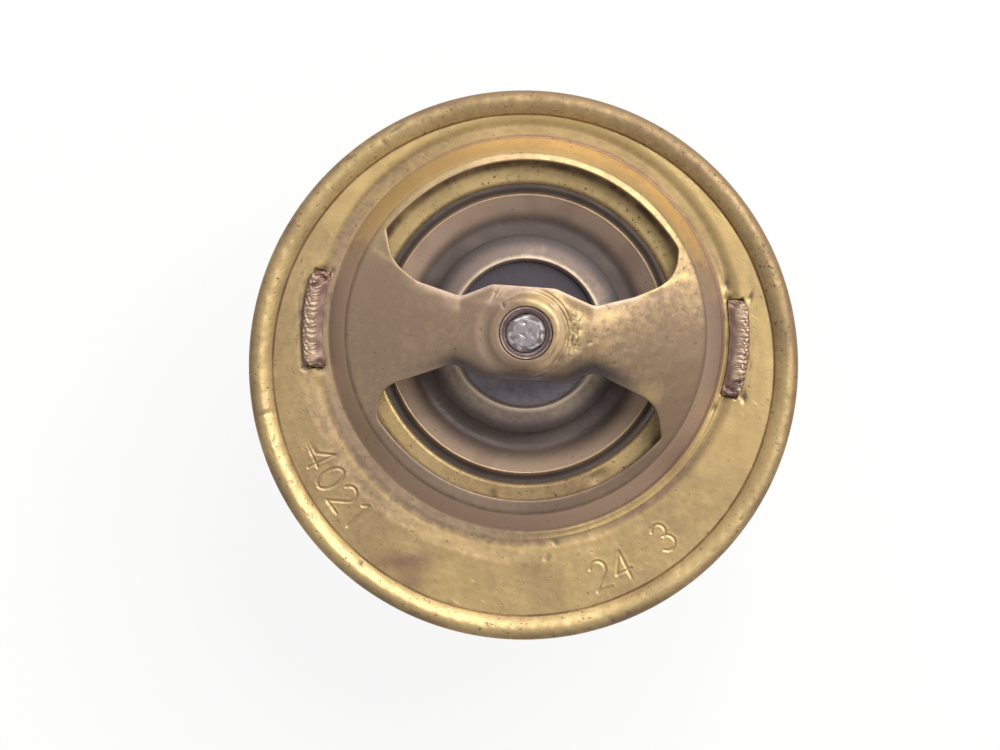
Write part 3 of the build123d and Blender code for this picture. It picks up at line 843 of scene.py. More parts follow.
def plate_bottom(x, y):
    """Height of the lower face."""
    return under_height(np.hypot(x, y)) + sheet_bend(x, y)


def on_plate(flat, height):
    """Points (x, y) about the valve axis raised to a height, in the model's frame."""
    x, y = flat[..., 0], flat[..., 1]
    return np.stack([x, y + valve_y, height + 0 * x], axis=-1)


# Points along a window's runs: hub, arm, arc, arm, hub. The near window's arc is finer, for the
# figures outside it. An arm has the same number of points across it everywhere.
hub_count, arm_count, across_count = 34, 44, 51
arc_counts = {1: 130, -1: 300}
bevel = 0.15


def window_points(side):
    """Points of a window's outline, their normals into the sheet, and the ends of its runs."""
    path, ends = window_outline(side)
    closed = np.concatenate([path, path[:1]])
    length = along(closed)
    marks = [(6.7, 3.2 * side), *ends, (-6.7, 3.2 * side)]
    stops = [length[np.argmin(np.hypot(*(path - mark).T))] for mark in marks]
    stops = [0, *stops, length[-1]]
    counts = [hub_count, arm_count, arc_counts[side], arm_count, hub_count]
    runs = [np.linspace(a, b, n, endpoint=False) for a, b, n in zip(stops, stops[1:], counts)]
    if side < 0:
        runs[2] = denser_at_figures(closed, runs[2])
    even = sampled(closed, np.concatenate(runs))
    return even, outline_normals(even) * side, np.cumsum([0, *counts])


windows = {side: window_points(side) for side in (1, -1)}


def cross(first, second):
    """Points from first to second at even angles: first * (second / first) ** t, as complex."""
    start = first[..., 0] + 1j * first[..., 1]
    end = second[..., 0] + 1j * second[..., 1]
    path = start[..., None] * (end / start)[..., None] ** np.linspace(0, 1, across_count)
    return np.stack([path.real, path.imag], axis=-1)


def borders(lift):
    """Closed borders of the hub and outer blocks, lift into the sheet, and the arms' four edges."""
    runs = {}
    for side, (even, normal, stops) in windows.items():
        loop = even + normal * lift
        loop = np.concatenate([loop, loop[:1]])
        runs[side] = [loop[a : b + 1] for a, b in zip(stops, stops[1:])]
    far, low = runs[1], runs[-1]
    hub = np.concatenate(
        [cross(low[0][-1], far[0][-1])[:-1], far[0][:0:-1], far[4][:0:-1],
         cross(far[4][0], low[4][0])[:-1], low[4][:-1], low[0][:-1]]
    )
    outer = np.concatenate([cross(low[1][-1], far[1][-1])[:-1], far[2][:-1],
                            cross(far[3][0], low[3][0])[:-1], low[2][:0:-1]])
    return hub, outer, (low[1], far[1], far[3][::-1], low[3][::-1])


def outer_turns(guide):
    """Angles of the outer block's columns, denser at the slots' ends, and the slots' columns."""
    turn = np.unwrap(np.arctan2(guide[:, 1], guide[:, 0]))
    slot_columns = []
    for start, middle in ((0, 0.0), (across_count - 1 + arc_counts[1], math.pi)):
        end = start + across_count - 1
        fine = np.linspace(turn[start], turn[end], 2000)
        weight = 1 + 3 * near(np.abs(fine - middle), slot_turn, 0.045)
        turn[start:end] = crowded(fine, weight, end - start)
        found = []
        for mark in (middle - slot_turn, middle + slot_turn):
            found.append(start + int(np.argmin(np.abs(turn[start:end] - mark))))
            turn[found[-1]] = mark
        slot_columns.append(found)
    return turn, slot_columns


def directions(angles):
    """Points on the unit circle."""
    return np.stack([np.cos(angles), np.sin(angles)], axis=1)


hub_guide, outer_guide, _ = borders(0.0)
circle = directions(np.arctan2(hub_guide[:, 1], hub_guide[:, 0]))
column_turns, slot_ends = outer_turns(outer_guide)
ray = directions(column_turns)


def rows_between(first, last, shares):
    """Rows of points from first (share 0) to last (share 1)."""
    share = np.asarray(shares)[:, None, None]
    return first * (1 - share) + last * share


def face_blocks(lift, hub_rows, ring_rows, ring_steps, outer_rows, inner_steps, height):
    """The blocks of one face, hub, two arms and outer part, its rim, and the slots' borders."""
    hub_edge, inner, (near_right, far_right, far_left, near_left) = borders(lift)
    hub = np.concatenate([np.asarray(hub_rows)[:, None, None] * circle, rows_between(
        hub_rows[-1] * circle, hub_edge, np.linspace(0, 1, inner_steps + 1)[1:])])
    rings = np.asarray(ring_rows)[:, None, None] * ray
    rim = on_flange_ring(rim_pocket - 0.05 - lift, column_turns)[:, None] * ray
    outer = np.concatenate(
        [rows_between(inner, rings[0], np.linspace(0, 1, ring_steps + 1)[:-1]), rings,
         rows_between(rings[-1], rim, outer_rows)]
    )
    low_row, high_row = (ring_steps + int(np.argmin(np.abs(np.asarray(ring_rows) - r)))
                         for r in (slot_inside, slot_outside))
    kept = np.ones((len(outer) - 1, outer.shape[1]), bool)
    made = []
    for grid, loops in ((hub, True), (cross(near_right, far_right), False),
                        (cross(far_left, near_left), False), (outer, True)):
        points = on_plate(grid, height(grid[..., 0], grid[..., 1]))
        made.append((points, False, loops, kept if grid is outer else None))
    slots = []
    for c0, c1 in slot_ends:
        kept[low_row:high_row, c0:c1] = False
        slots.append(np.concatenate(
            [points[low_row, c0:c1], points[low_row:high_row, c1],
             points[high_row, c1:c0:-1], points[high_row:low_row:-1, c0]]
        ))
    return made, rim, slots


def window_wall(path, normal):
    """Cut edge from the upper face's border, over a small round, down to the lower face."""
    border = path + normal * bevel
    top = plate_top(*border.T)
    rows = [on_plate(path + normal * bevel * share,
                     top - bevel * (1 - math.sqrt(1 - (1 - share) ** 2)))
            for share in (1.0, 0.62, 0.29, 0.08, 0.0)]
    return np.array([*rows, on_plate(path, plate_bottom(*path.T))])


def hub_wall():
    """Wall of the hub's hole, with a small round at its top."""
    top = plate_top(*(circle * (hub_hole + 0.08)).T)
    rows = [on_plate(circle * r, top - sunk)
            for r, sunk in ((hub_hole + 0.08, 0.0), (hub_hole + 0.02, 0.04), (hub_hole, 0.12))]
    low = circle * hub_hole
    return np.array([*rows, on_plate(low, plate_bottom(*low.T))])


def bridge_plate():
    """Bridge plate: hub, arms and dome as blocks of one grid, upper and lower face and cut edges.

    Blocks run between the hub's hole, the windows' outlines and the outer edge; a point between
    two outlines is (1 - t) * inner + t * outer, and its height comes from the pressed section.
    """
    first_row, hub_end = hub_hole + 0.08, 4.3
    r = spaced(rounded(roof_line, roof_bends), 0.16)[:, 0]
    top_hub = r[(r > first_row + 0.03) & (r < hub_end - 0.03)]
    top_hub = np.unique(np.round([first_row, hub_end, *top_hub], 4))
    top_ring = np.unique(np.round(np.concatenate(
        [roof_radius + np.linspace(-0.29, 0.31, 7), [18.5, 18.9],
         dome_radius + np.linspace(-0.19, 0.21, 6), np.linspace(19.6, 20.4, 12),
         np.linspace(20.55, 22.2, 10), [slot_inside, slot_outside]]
    ), 4))
    in_slot = top_ring[(top_ring > slot_inside) & (top_ring < slot_outside)]
    low_ring = np.unique(
        [top_ring[0], 18.1, 18.8, 19.4, slot_inside, *in_slot, slot_outside, top_ring[-1]]
    )
    flange_rows = np.concatenate([np.linspace(0, 0.6, 49)[1:], np.linspace(0.6, 1, 13)[1:]])
    above, rim_top, slots_top = face_blocks(
        bevel, top_hub, top_ring, 4, flange_rows, 20, plate_top
    )
    below, rim_low, slots_low = face_blocks(
        0.0, [hub_hole, 3.0, 3.6, hub_end], low_ring, 2, [0.5, 1.0], 3, plate_bottom
    )
    rim = [on_plate(rim_top, plate_top(*rim_top.T)), on_plate(rim_low, plate_top(*rim_low.T) - 0.1),
           on_plate(rim_low, plate_bottom(*rim_low.T))]
    walls = [window_wall(even, normal) for even, normal, _ in windows.values()]
    strips = [*zip(slots_top, slots_low), *walls, hub_wall(), rim]
    patches = [*above, *below, *((np.array(strip), False, True, None) for strip in strips)]
    piece("bridge_and_dome", patches, "root", plate_brass, ["bridge_plate"],
          {"tarnish": plate_tarnish_and_shade, "wear_and_highlight": plate_highlight_and_wear, "film_and_light": plate_film_and_light,
           "stain": plate_stain_and_shade, "dirt_and_shade": plate_shade_and_dirt})


def about_axis(x, y):
    """A point of the flange's frame about the valve axis, and its distance from it."""
    return x, y - valve_y, from_axis(x, y)


def on_wall(r):
    """1 on the dome's steep wall."""
    return soft_step(r, 17.6, 17.8) * (1 - soft_step(r, 19.3, 19.5))


def plate_tarnish_and_shade(x, y, z):
    """Brown tarnish: heavy on the dome and arms, more on the left and less towards the top, light on
    the flange; painted shade on the lower left.
    """
    px, py, r = about_axis(x, y)
    dome = 1 - 0.55 * soft_step(r, 19.1, 19.4) - 0.45 * soft_step(r, 20.4, 21.2)
    upper = soft_step(py, 3.0, 13.0)
    lowest = soft_step(-py, 10.0, 16.0)
    heavy = 0.74 + 0.1 * soft_step(-px, -6.0, 6.0)
    heavy = heavy * (1 - 0.7 * upper) * (1 - 0.1 * lowest)
    bare = np.exp(-((np.hypot(px - 2.2, py - 1.2) / 3.4) ** 4))
    boss = 0.5 * near(r, 3.3, 0.9) * soft_step(-px, -0.8, 1.5)
    # Painted shade on the lower left: the step and the flange there are darkened, taking down the
    # lamp's highlight.
    from_low_left = (np.arctan2(py, px) + 2.45 + math.pi) % (2 * math.pi) - math.pi
    step = 0.42 * near(from_low_left, 0, 0.8) * near(r, 21.6, 1.2)
    flange = 0.2 * soft_step(-px, 6.0, 18.0) * soft_step(r, 21.0, 22.0)
    band = soft_step(r, 19.45, 19.7) * (1 - soft_step(r, 20.8, 21.2))
    band = band * (0.3 * soft_step(-py, 6.0, 12.0) + 0.05 + 0.35 * toward(px, py, 142.0, 25.0))
    below = 0.14 * lowest * soft_step(r, 21.0, 21.4)
    return 0.05 + dome * heavy * (1 - 0.6 * bare) + boss + step + flange + band + below


def plate_film_and_light(x, y, z):
    """Pale brown film and painted light: the dome's steep wall (more at its bottom), the band at its
    foot, the roof and hub on the left and at the bottom, the boss' right side, and highlights on the
    arms' upper edges.
    """
    px, py, r = about_axis(x, y)
    left = soft_step(-px, -6.0, 6.0)
    upper = soft_step(py, 3.0, 13.0)
    lowest = soft_step(-py, 10.0, 16.0)
    # Painted light: the steep wall made paler, more so at the bottom, and the roof on the left and
    # at the bottom.
    wall = soft_step(r, 17.6, 17.9) * (1 - soft_step(r, 19.2, 19.5))
    band = soft_step(r, 19.2, 19.5) * (1 - soft_step(r, 20.0, 20.5))
    roof = 1 - soft_step(r, 17.3, 17.7)
    # Painted highlights along the arms' upper edges, and painted light on the boss' right side.
    edge = 0.8 * near(edge_gap(px, py), 0, 0.34) * (py > 0) * (r < 12)
    boss = 0.35 * near(r, 3.6, 0.5) * soft_step(px, 0.0, 2.2)
    return (wall * (0.6 - 0.5 * upper + 0.3 * lowest) + 0.25 * band * left * (1 - upper) + boss
            + (0.22 * left + 0.2 * lowest) * roof + edge)


def plate_stain_and_shade(x, y, z):
    """Purple stains on the near flange, and painted shade: the dark line in the crease at the dome's
    foot.
    """
    px, py, r = about_axis(x, y)
    # Painted shade in the crease at the dome's foot.
    foot = 1.2 * near(r, dome_radius + 0.07, 0.13) * toward(px, py, 30.0, 112.0)
    return (0.8 * spot(x, y, -10.2, -20.0, 2.9, 0.9, 8) + 0.6 * spot(x, y, -9.5, -22.2, 1.5, 1.2, 30)
            + 0.5 * spot(x, y, -5.6, -24.0, 0.4, 0.3) + 0.35 * spot(x, y, 16.0, -8.0, 2.5, 1.2, 60)
            + foot)


def plate_shade_and_dirt(x, y, z):
    """Dirt and painted shade: dark marks round the staked heads and at nicks; painted shade under
    the arms' lower edges, beside the arms, in the crushed place and the hub's crease, on the dome's
    wall, and on the roof's bottom.
    """
    px, py, r = about_axis(x, y)
    dirt_and_shade = np.zeros(np.shape(px))
    for mx, my, long, wide, depth, turn in plate_marks:
        dirt_and_shade = dirt_and_shade + 4.0 * depth * spot(px, py, mx, my, long * 0.9, wide * 0.9, turn)
    near_heads = (np.abs(np.abs(px) - 20.9) < 1.6) * (np.abs(py) < 5.4)
    dirt_and_shade = dirt_and_shade + 0.5 * near_heads * soft_step(waves(px, py, 0.8, 71), 0.6, 1.3)
    # Painted shade under the arms' lower edges near the waist.
    under = np.exp(-((edge_gap(px, py) / 0.9) ** 4)) * (py < 0) * (r < 9)
    dirt_and_shade = dirt_and_shade + 0.8 * under * soft_step(-np.abs(px), -9.0, -6.0)
    # Painted shadows beside the arms' lower edges.
    dirt_and_shade = dirt_and_shade + 0.75 * spot(px, py, 7.8, -3.5, 2.9, 0.9, -13)
    dirt_and_shade = dirt_and_shade + 0.25 * spot(px, py, -8.0, -3.6, 2.4, 0.6, 14)
    # Painted shade in the slots of the crushed place, and in the crease round the boss on the left.
    flecks = soft_step(waves(2.4 * px, 0.7 * py, 0.8, 72), 0.0, 0.6)
    dirt_and_shade = dirt_and_shade + 0.8 * flecks * spot(px, py, 4.8, 0.35, 0.7, 2.2)
    dirt_and_shade = dirt_and_shade + 0.25 * near(r, 4.2, 0.3) * soft_step(-px, -1.0, 2.0)
    # Painted shade: the wall darker on its upper right, taking down the lamp there, and at the
    # bottom; the roof darker at the bottom.
    wall = 0.3 * toward(px, py, 34.0, 34.0) + 0.12 * soft_step(-py, 6.0, 12.0)
    roof = soft_step(r, 16.0, 16.4) * (1 - soft_step(r, 17.5, 17.8))
    dirt_and_shade = dirt_and_shade + on_wall(r) * wall + 0.2 * soft_step(-py, 8.0, 13.0) * roof
    return np.clip(dirt_and_shade, 0, 0.85)


def plate_highlight_and_wear(x, y, z):
    """Rubbed yellow metal and painted highlights: the boss' right side, the crushed place, edges,
    worn spots, the top of the wall and flange, the ridges at the dome's foot, and the wall's upper
    left.
    """
    px, py, r = about_axis(x, y)
    # Painted highlight on the boss' right side; the crushed place is rubbed metal with painted
    # glints.
    boss = 0.8 * near(r, 3.6, 0.3) * soft_step(px, 0.0, 2.2)
    crush = 0.5 * spot(px, py, 4.9, 0.35, 0.6, 2.1)
    # Painted light on the flange's upper side, and painted highlights along the arms' upper edges.
    flange = 0.45 * soft_step(py, 6.0, 14.0) * soft_step(r, 20.9, 21.4)
    edge = 0.6 * near(edge_gap(px, py), 0, 0.22) * (r < 17) * (py > 0)
    # Worn spots, and painted light on the top of the dome's wall.
    worn = 0.5 * spot(px, py, 12.4, -5.2, 1.4, 1.1) + 0.25 * spot(px, py, 7.6, 2.2, 3.0, 0.7, 8)
    worn = worn + 0.45 * spot(px, py, 0.5, 3.5, 3.2, 0.8) + 0.4 * (r > 17.7) * (r < 19.3) * (py > 8)
    # Painted highlights along the fine ridges at the dome's foot.
    foot = 0.6 * soft_step(r, 19.5, 19.62) * (1 - soft_step(r, 20.25, 20.38))
    foot = foot + 0.3 * near(r, 19.68, 0.12) + 0.4 * near(r, 20.2, 0.1)
    # Painted light on the wall's upper left.
    wall = 0.4 * toward(px, py, 132.0, 26.0) * soft_step(r, 17.6, 17.8)
    wall = wall * (1 - soft_step(r, 19.0, 19.3))
    return boss + crush + edge + worn + flange + foot * foot_side(px, py) + wall


# ---------------------------------------------------------------- valve and wax element
def lathe(name, loop, count, finish, node_name, layers=None, uneven=0.0, seed=0, loops=True):
    """Section (r, z) turned about the valve axis, its height a little uneven.

    A section that ends on the axis doesn't loop.
    """
    grid = turned(loop, ring_angles(count))
    x, y = grid[..., 0], grid[..., 1]
    if uneven:
        grid[..., 2] += uneven * waves(x, y, 4.0, seed) * soft_step(from_axis(x, y), 0.2, 1.0)
    piece(name, [(grid, loops, True, None)], "valve", finish, [node_name], layers)


disc_ridge = 13.7


def disc_painted_shade(x, y, z):
    """Painted shade in the valley, and on the flank outside the ridge."""
    r = from_axis(x, y)
    valley = soft_step(-r, -13.2 + 0.8 * soft_step(y, 0.0, 9.0), -11.2)
    return 0.85 * valley + 0.8 * soft_step(r, 13.72, 14.0)


def disc_film_and_light(x, y, z):
    """Pale film and painted light on the slope up to the ridge, more towards +Y."""
    r = from_axis(x, y)
    slope = soft_step(r, 11.4, 12.2) * soft_step(-r, -disc_ridge, -13.4)
    return (0.55 + 0.4 * soft_step(y, -5.0, 8.0)) * slope


def valve_disc():
    """Dished valve disc: flat valley round the element, sharp ridge, and the sealing flank."""
    ridge_z = disc_high[2]
    drop = 2.05 * math.tan(math.radians(47.0))
    line = [(6.85, valley_z), (11.5, valley_z), (disc_ridge, ridge_z), (15.75, ridge_z - drop)]
    loop = spaced(bent_sheet(line, [1.7, 0.05], sheet, 0.12, coined={1: 0.12}), 0.3)
    lathe("valve_poppet", loop, 360, inner_brass, "valve_disc", {
        "tarnish": lambda x, y, z: 0.2 + 0.15 * waves(x, y, 6.0, 34),
        # Painted highlight along the ridge's crest.
        "wear_and_highlight": lambda x, y, z: 0.6 * near(from_axis(x, y), disc_ridge, 0.15),
        "dirt_and_shade": disc_painted_shade,
        "film_and_light": disc_film_and_light,
        "stain": lambda x, y, z: 0.2 * soft_step(waves(x, y, 5.0, 35), 0.2, 1.0),
    }, 0.02, 31)


def element_cup():
    """Cup of the wax element: closed foot, body, widened head and its crimped edge."""
    body, head, crimp = 6.5, 9.8, 7.4
    head_top = valley_z + 2.8
    line = [(crimp, head_top + 1.1), (head, head_top), (head, valley_z), (body, valley_z),
            (body, foot_z), (0, foot_z)]
    loop = spaced(bent_sheet(line, [0.3, 0.4, 0.2, 0.3], sheet, 0.14, closed=False), 0.7)
    loop = np.concatenate([[[0, foot_z]], loop[loop[:, 0] > 0.01], [[0, foot_z + sheet]]])
    lathe("wax_element_cup", loop, 240, cup_finish, "element_cup", {
        # Tarnish, and painted shade: darker towards +Y.
        "tarnish": lambda x, y, z: 0.5 + 0.1 * waves(x, y, 5.0, 36) + 0.4 * soft_step(y, 2.0, 9.0),
        # Painted highlight along the crimped edge.
        "wear_and_highlight": lambda x, y, z: 1.2 * near(from_axis(x, y), crimp + 0.07, 0.14),
        # Painted shade on the head's outer part, next to the valley.
        "dirt_and_shade": lambda x, y, z: 0.85 * soft_step(from_axis(x, y), 8.1, 9.3),
        "stain": lambda x, y, z: 0.15 + 0 * x,
    }, 0.01, 33, loops=False)


def piston_guide():
    """Turned guide in the element's head, with the raised nose round the piston."""
    low, top, nose_low = guide_low[2], guide_low[2] + 0.9, nose_top - 1.0
    bore, mouth, nose, edge = 1.95, 3.05, 4.3, 8.95
    loop = section(
        [(bore, low), (edge, low), (edge, top - 0.35), (7.9, top), (nose, top), (nose, nose_low),
         (3.8, nose_top), (mouth, nose_top), (mouth, nose_low), (bore, nose_low)],
        [0.05, 0.05, 0.05, 0.1, 0.3, 0.15, 0.15, 0.08, 0.05, 0.05],
    )
    lathe("guide_and_nose", loop, 200, guide_finish, "piston_guide", {
        # Painted shade: the guide darker towards +Y.
        "tarnish": lambda x, y, z: soft_step(y, -2.0, 7.0) * (from_axis(x, y) > 4.4)})


def wiper_seal():
    """Rubber ring in the nose's mouth."""
    bore, edge, low, high = 1.95, 2.98, wiper_low[2], wiper_high[2]
    loop = section([(bore, low), (edge, low), (edge, high), (bore, high)], [0.1, 0.1, 0.2, 0.2], 0.2)
    lathe("wiper_ring", loop, 160, black_rubber, "wiper_seal")


# Nicks in the pin's top: middle from its axis, half length, half width, depth, turn in degrees.
pin_nicks = [
    (-0.15, 0.95, 0.12, 0.07, 0.08, 0), (-1.2, -0.6, 0.22, 0.16, 0.10, 0),
    (1.35, -0.2, 0.14, 0.4, 0.08, 0), (0.8, -1.25, 0.2, 0.14, 0.10, 0),
    (0.25, 0.1, 0.5, 0.06, 0.05, 62), (-0.4, -0.2, 0.4, 0.05, 0.05, -20),
]


def pin_highlight_and_wear(x, y, z):
    """Painted highlights and rubbing, in patches, on the edge of the pin's top."""
    rubbed = 0.9 * near(from_axis(x, y), 1.58, 0.2) * soft_step(waves(x, y, 1.1, 45), -0.3, 0.4)
    return rubbed * (z > pin_high[2] - 0.6)


def piston():
    """Steel pin: chamfered ends and two flats at the top end.

    A point of a section of radius R lies at min(R, flat / |cos(angle to the flat's normal)|).
    """
    radius, chamfer, flat_half, flats_long = 1.9, 0.6, 1.63, 3.0
    top, low = pin_high[2], pin_low[2]
    shoulder = top - 1.2
    body = rounded([(0, low), (radius - chamfer, low), (radius, low + chamfer), (radius, shoulder)],
                   [0.08, 0.08], 5)
    tip = rounded([(radius, shoulder), (radius, top - chamfer), (radius - chamfer, top), (0, top)],
                  [0.05, 0.06], 5)
    path = np.concatenate([spaced(body, 1.5, 0.03), spaced(tip, 0.08, 0.02)[1:]])
    below, above = top - flats_long - 0.02, top - flats_long + 0.02
    path = np.concatenate([path[path[:, 1] < below], [(radius, below), (radius, above)],
                           path[path[:, 1] > above]])
    angles = ring_angles(240)
    from_flat = np.abs(np.cos(angles - math.radians(116.0)))
    r, z = path[:, :1], path[:, 1:]
    flat = np.minimum(r, flat_half / np.maximum(from_flat, 0.2))
    rho = np.where(z > top - flats_long, flat, r)
    x, y = rho * np.cos(angles), rho * np.sin(angles)
    sunk = marked(x, y, pin_nicks) + 0.02 * waves(x, y, 0.9, 41)
    height = z - sunk * (z > top - 1) * (r > 0)
    grid = np.stack([x, valve_y + y, np.minimum(height, top)], axis=-1)
    piece("pin", [(grid, False, True, None)], "root", pin_steel, ["piston"],
          {"wear_and_highlight": pin_highlight_and_wear})


def hub_sleeve():
    """Copper sleeve squeezed round the pin: coned mouth, uneven lip, collar under the hub."""
    bore, outside, collar = 1.95, 2.57, 2.85
    low, top, collar_top = sleeve_low[2], sleeve_high[2], hub_top - sheet - 0.05
    collar_low = collar_top - 0.75
    loop = section(
        [(bore, low), (outside, low), (outside, collar_low), (collar, collar_low),
         (collar, collar_top), (outside, collar_top), (outside, top), (2.4, top), (bore, top - 0.5)],
        [0.05, 0.05, 0.05, 0.08, 0.08, 0.05, 0.08, 0.1, 0.1], 0.12,
    )
    grid = turned(loop, ring_angles(220))
    x, y, z = grid[..., 0], grid[..., 1] - valve_y, grid[..., 2]
    upper = soft_step(z, top - 0.6, top - 0.2)
    lean = -0.10 * (y / np.hypot(x, y)) + 0.03 * waves(x, y, 1.6, 43)
    grid[..., 2] = z - upper * (0.14 + lean + 0.012 * waves(x, y, 0.7, 44))
    piece("copper_sleeve", [(grid, True, True, None)], "root", sleeve_copper,
          ["hub_sleeve"])


# ---------------------------------------------------------------- lower frame and spring
frame_thick = 1.5
frame_hole = 6.8
leg_foot = 12.6
leg_half, tab_half = 6.0, 4.7
leg_across = np.linspace(-1, 1, 25)


def frame_sections():
    """Paths (r, z) of a leg's outer and inner face, and of the floor and collar between the legs."""
    collar_top = floor_low + frame_thick + 2.0
    line = [(21.6, flange_top + 0.2), (21.6, -9.1), (13.2, floor_low), (frame_hole, floor_low),
            (frame_hole, collar_top)]
    loop = bent_sheet(line, [3.0, 2.0, 1.0], frame_thick, 0.2)
    loop = np.roll(loop, -np.argmax(loop[:, 1]), axis=0)
    far = np.argmin(np.hypot(loop[:, 0] - frame_hole, loop[:, 1] - collar_top))
    outer, inner = loop[: far + 1], np.concatenate([loop[far:], loop[:1]])
    low = [(leg_foot, floor_low)]
    high = [(leg_foot, np.interp(leg_foot, *inner[inner[:, 0] > 7.5].T))]
    on_leg = (inner[:, 0] > leg_foot) & (inner[:, 1] > floor_low + 0.5)
    outer_leg = stations(np.concatenate([outer[outer[:, 0] > leg_foot], low]), 90)
    inner_leg = stations(np.concatenate([high, inner[on_leg]]), 90)
    ring = [low, outer[outer[:, 0] < leg_foot][:-1], inner[inner[:, 0] < leg_foot], high]
    return outer_leg, inner_leg, np.concatenate(ring)


def leg_face(path, sign):
    """Grid of a leg's face: half width narrows from the leg's to the tab's at the shoulder."""
    r, z = path[:, :1], path[:, 1:]
    half = np.interp(z, [underside - 0.7, underside - 0.3], [leg_half, tab_half])
    y = leg_across * half
    return np.stack([sign * np.sqrt(r**2 - y**2), sign * y + valve_y, z + 0 * y], axis=-1)


def strap_frame():
    """Strap frame: collar and floor as a ring, two legs that bend up from it, and their tabs.

    Rows follow the sheet's section (r, z), columns run across: on a leg y = v * half width and
    x = sqrt(r^2 - y^2), elsewhere the columns are plain angles.
    """
    outer_leg, inner_leg, ring = frame_sections()
    leg_turns = np.arcsin(leg_across * leg_half / leg_foot)
    between_legs = np.linspace(leg_turns[-1], math.pi - leg_turns[-1], 41)[1:-1]
    half_turn = np.concatenate([leg_turns, between_legs])
    turns = np.concatenate([half_turn, math.pi + half_turn])
    free = np.tile(np.arange(len(half_turn)) >= len(leg_across) - 1, 2)[None]
    patches = [(turned(ring, turns), False, True, None),
               (turned(ring[[-1, 0]], turns), False, True, free)]
    for sign in (1, -1):
        out_face, in_face = leg_face(outer_leg, sign), leg_face(inner_leg, sign)
        sides = [np.array([in_face[:, place], out_face[::-1, place]]) for place in (0, -1)]
        for grid in (out_face, in_face, np.array([in_face[-1], out_face[0]]), *sides):
            patches.append((grid, False, False, None))
    piece("strap_frame", patches, "root", frame_finish, ["lower_frame"],
          {"tarnish": lambda x, y, z: 0.4 + 0.2 * waves(x, y, 6.0, 61)})


def main_spring():
    """Closed-end compression spring: a round wire swept along a helix.

    Centre (R cos t, R sin t, z(t)) with z rising at the closed pitch in the end turns and at the
    open pitch between; the wire's ring lies in the plane of the radius and the valve axis.
    """
    wire, ring, closed_pitch, gap, eased = 0.85, 10.1, 1.75, 0.02, 25
    low = floor_low + frame_thick + gap + wire
    high = valley_z - sheet - gap - wire
    t = np.linspace(0, 5, 481)
    z = np.interp(t, [0, 1, 4, 5], [low, low + closed_pitch, high - closed_pitch, high])
    z = np.pad(z, eased // 2, mode="reflect", reflect_type="odd")
    z = np.convolve(z, np.ones(eased) / eased, "valid")[:, None]
    a = (t * 2 * math.pi)[:, None]
    section_turns = ring_angles(24)
    out, up = ring + wire * np.cos(section_turns), z + wire * np.sin(section_turns)
    coil = np.stack([out * np.cos(a), valve_y + out * np.sin(a), up], axis=-1)
    patches = [(grid, False, True, None)
               for grid in (coil, closed_end(coil[0], 0.6), closed_end(coil[-1], 0.6))]
    made = piece("coil_spring", patches, "root", coil_steel, ["main_spring"])
    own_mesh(made)


# Folds that split a staked head's corners: distance from the head's middle circle, place along
# it, half length, half width, depth, turn in degrees.
head_folds = [
    (0.1, -3.55, 0.75, 0.16, 0.34, 32), (-0.1, -4.15, 0.6, 0.16, 0.30, -28),
    (-0.5, 4.3, 0.4, 0.3, 0.22, 20),
]


def head_fold_shade(x, y, z):
    """Painted shade in the folds of the right head."""
    folds = 0.8 * spot(x, y - valve_y, 20.7, -4.0, 0.8, 0.2, 30)
    return (x > 0) * (folds + 0.7 * spot(x, y - valve_y, 20.9, -3.4, 0.5, 0.14, -30))


def staked_head(name, sign):
    """Crushed head of a tab above the flange: a low bar with a smooth side and a knurled top.

    The bar's section is a rounded box round (r, z), shrunk to a line at both ends, and tool marks
    sink its upper side: diagonal grooves, uneven crush, and split corners.
    """
    low = flange_top - 0.12
    inside, outside = 20.05 if sign > 0 else 19.95, 22.0
    knurl_low, knurl_high = (-0.15, 0.1) if sign > 0 else (-0.35, -0.1)
    centre_r, half_r = (inside + outside) / 2, (outside - inside) / 2
    centre_z, half_z = (low + stake_top) / 2, (stake_top - low) / 2
    v = np.linspace(-0.995, 0.995, 200)[:, None]
    turns = ring_angles(80)
    squareness = 0.42
    box_r, box_z = (np.sign(c) * np.abs(c) ** squareness for c in (np.cos(turns), np.sin(turns)))
    end = np.sqrt(1 - np.abs(v) ** 26)
    y = v * 4.66 + 0 * box_r
    r, z = centre_r + half_r * box_r * end, centre_z + half_z * box_z * end
    skew = 0.05 * waves(y, r, 3.0, 51 + sign)
    rel = (r - centre_r) / half_r
    knurled = soft_step(rel, knurl_low, knurl_high)
    lines = np.sin((y + r * np.where(y > -2.2, 1, -1)) * 21.0 + 2.4 * waves(y, r, 1.2, 56))
    broken = soft_step(waves(y, r, 0.7, 55 + sign), -0.6, 0.6)
    groove = 0.05 * (0.5 - 0.5 * lines) * broken + 0.08 * (0.5 + 0.5 * waves(y, r, 0.35, 57))
    facet = 0.10 + 0.12 * soft_step(-rel, 0.2, 1.0) + 0.05 * waves(y, r, 2.0, 58 + sign)
    sunk = knurled * groove + (1 - knurled) * facet + marked(r - centre_r, y, head_folds)
    z = z - (sunk - 0.3 * skew) * soft_step(box_z, 0.2, 0.9)
    y = y + 0.06 * waves(r, z, 0.8, 59)
    x = sign * np.sqrt(r**2 - y**2)
    grid = np.stack([x, sign * y + valve_y, np.minimum(z, stake_top)], axis=-1)
    patches = [(rows, False, True, None)
               for rows in (grid, closed_end(grid[0], 0.5), closed_end(grid[-1], 0.5))]
    piece(name, patches, "root", frame_finish, ["lower_frame"], {
        "tarnish": lambda x, y, z: 0.6 + 0 * x,
        "wear_and_highlight": lambda x, y, z: 0.6 * soft_step(z, stake_top - 0.12, stake_top - 0.02),
        "dirt_and_shade": head_fold_shade,
        "stain": lambda x, y, z: 0.6 * soft_step(stake_top - z, 0.08, 0.16),
    })


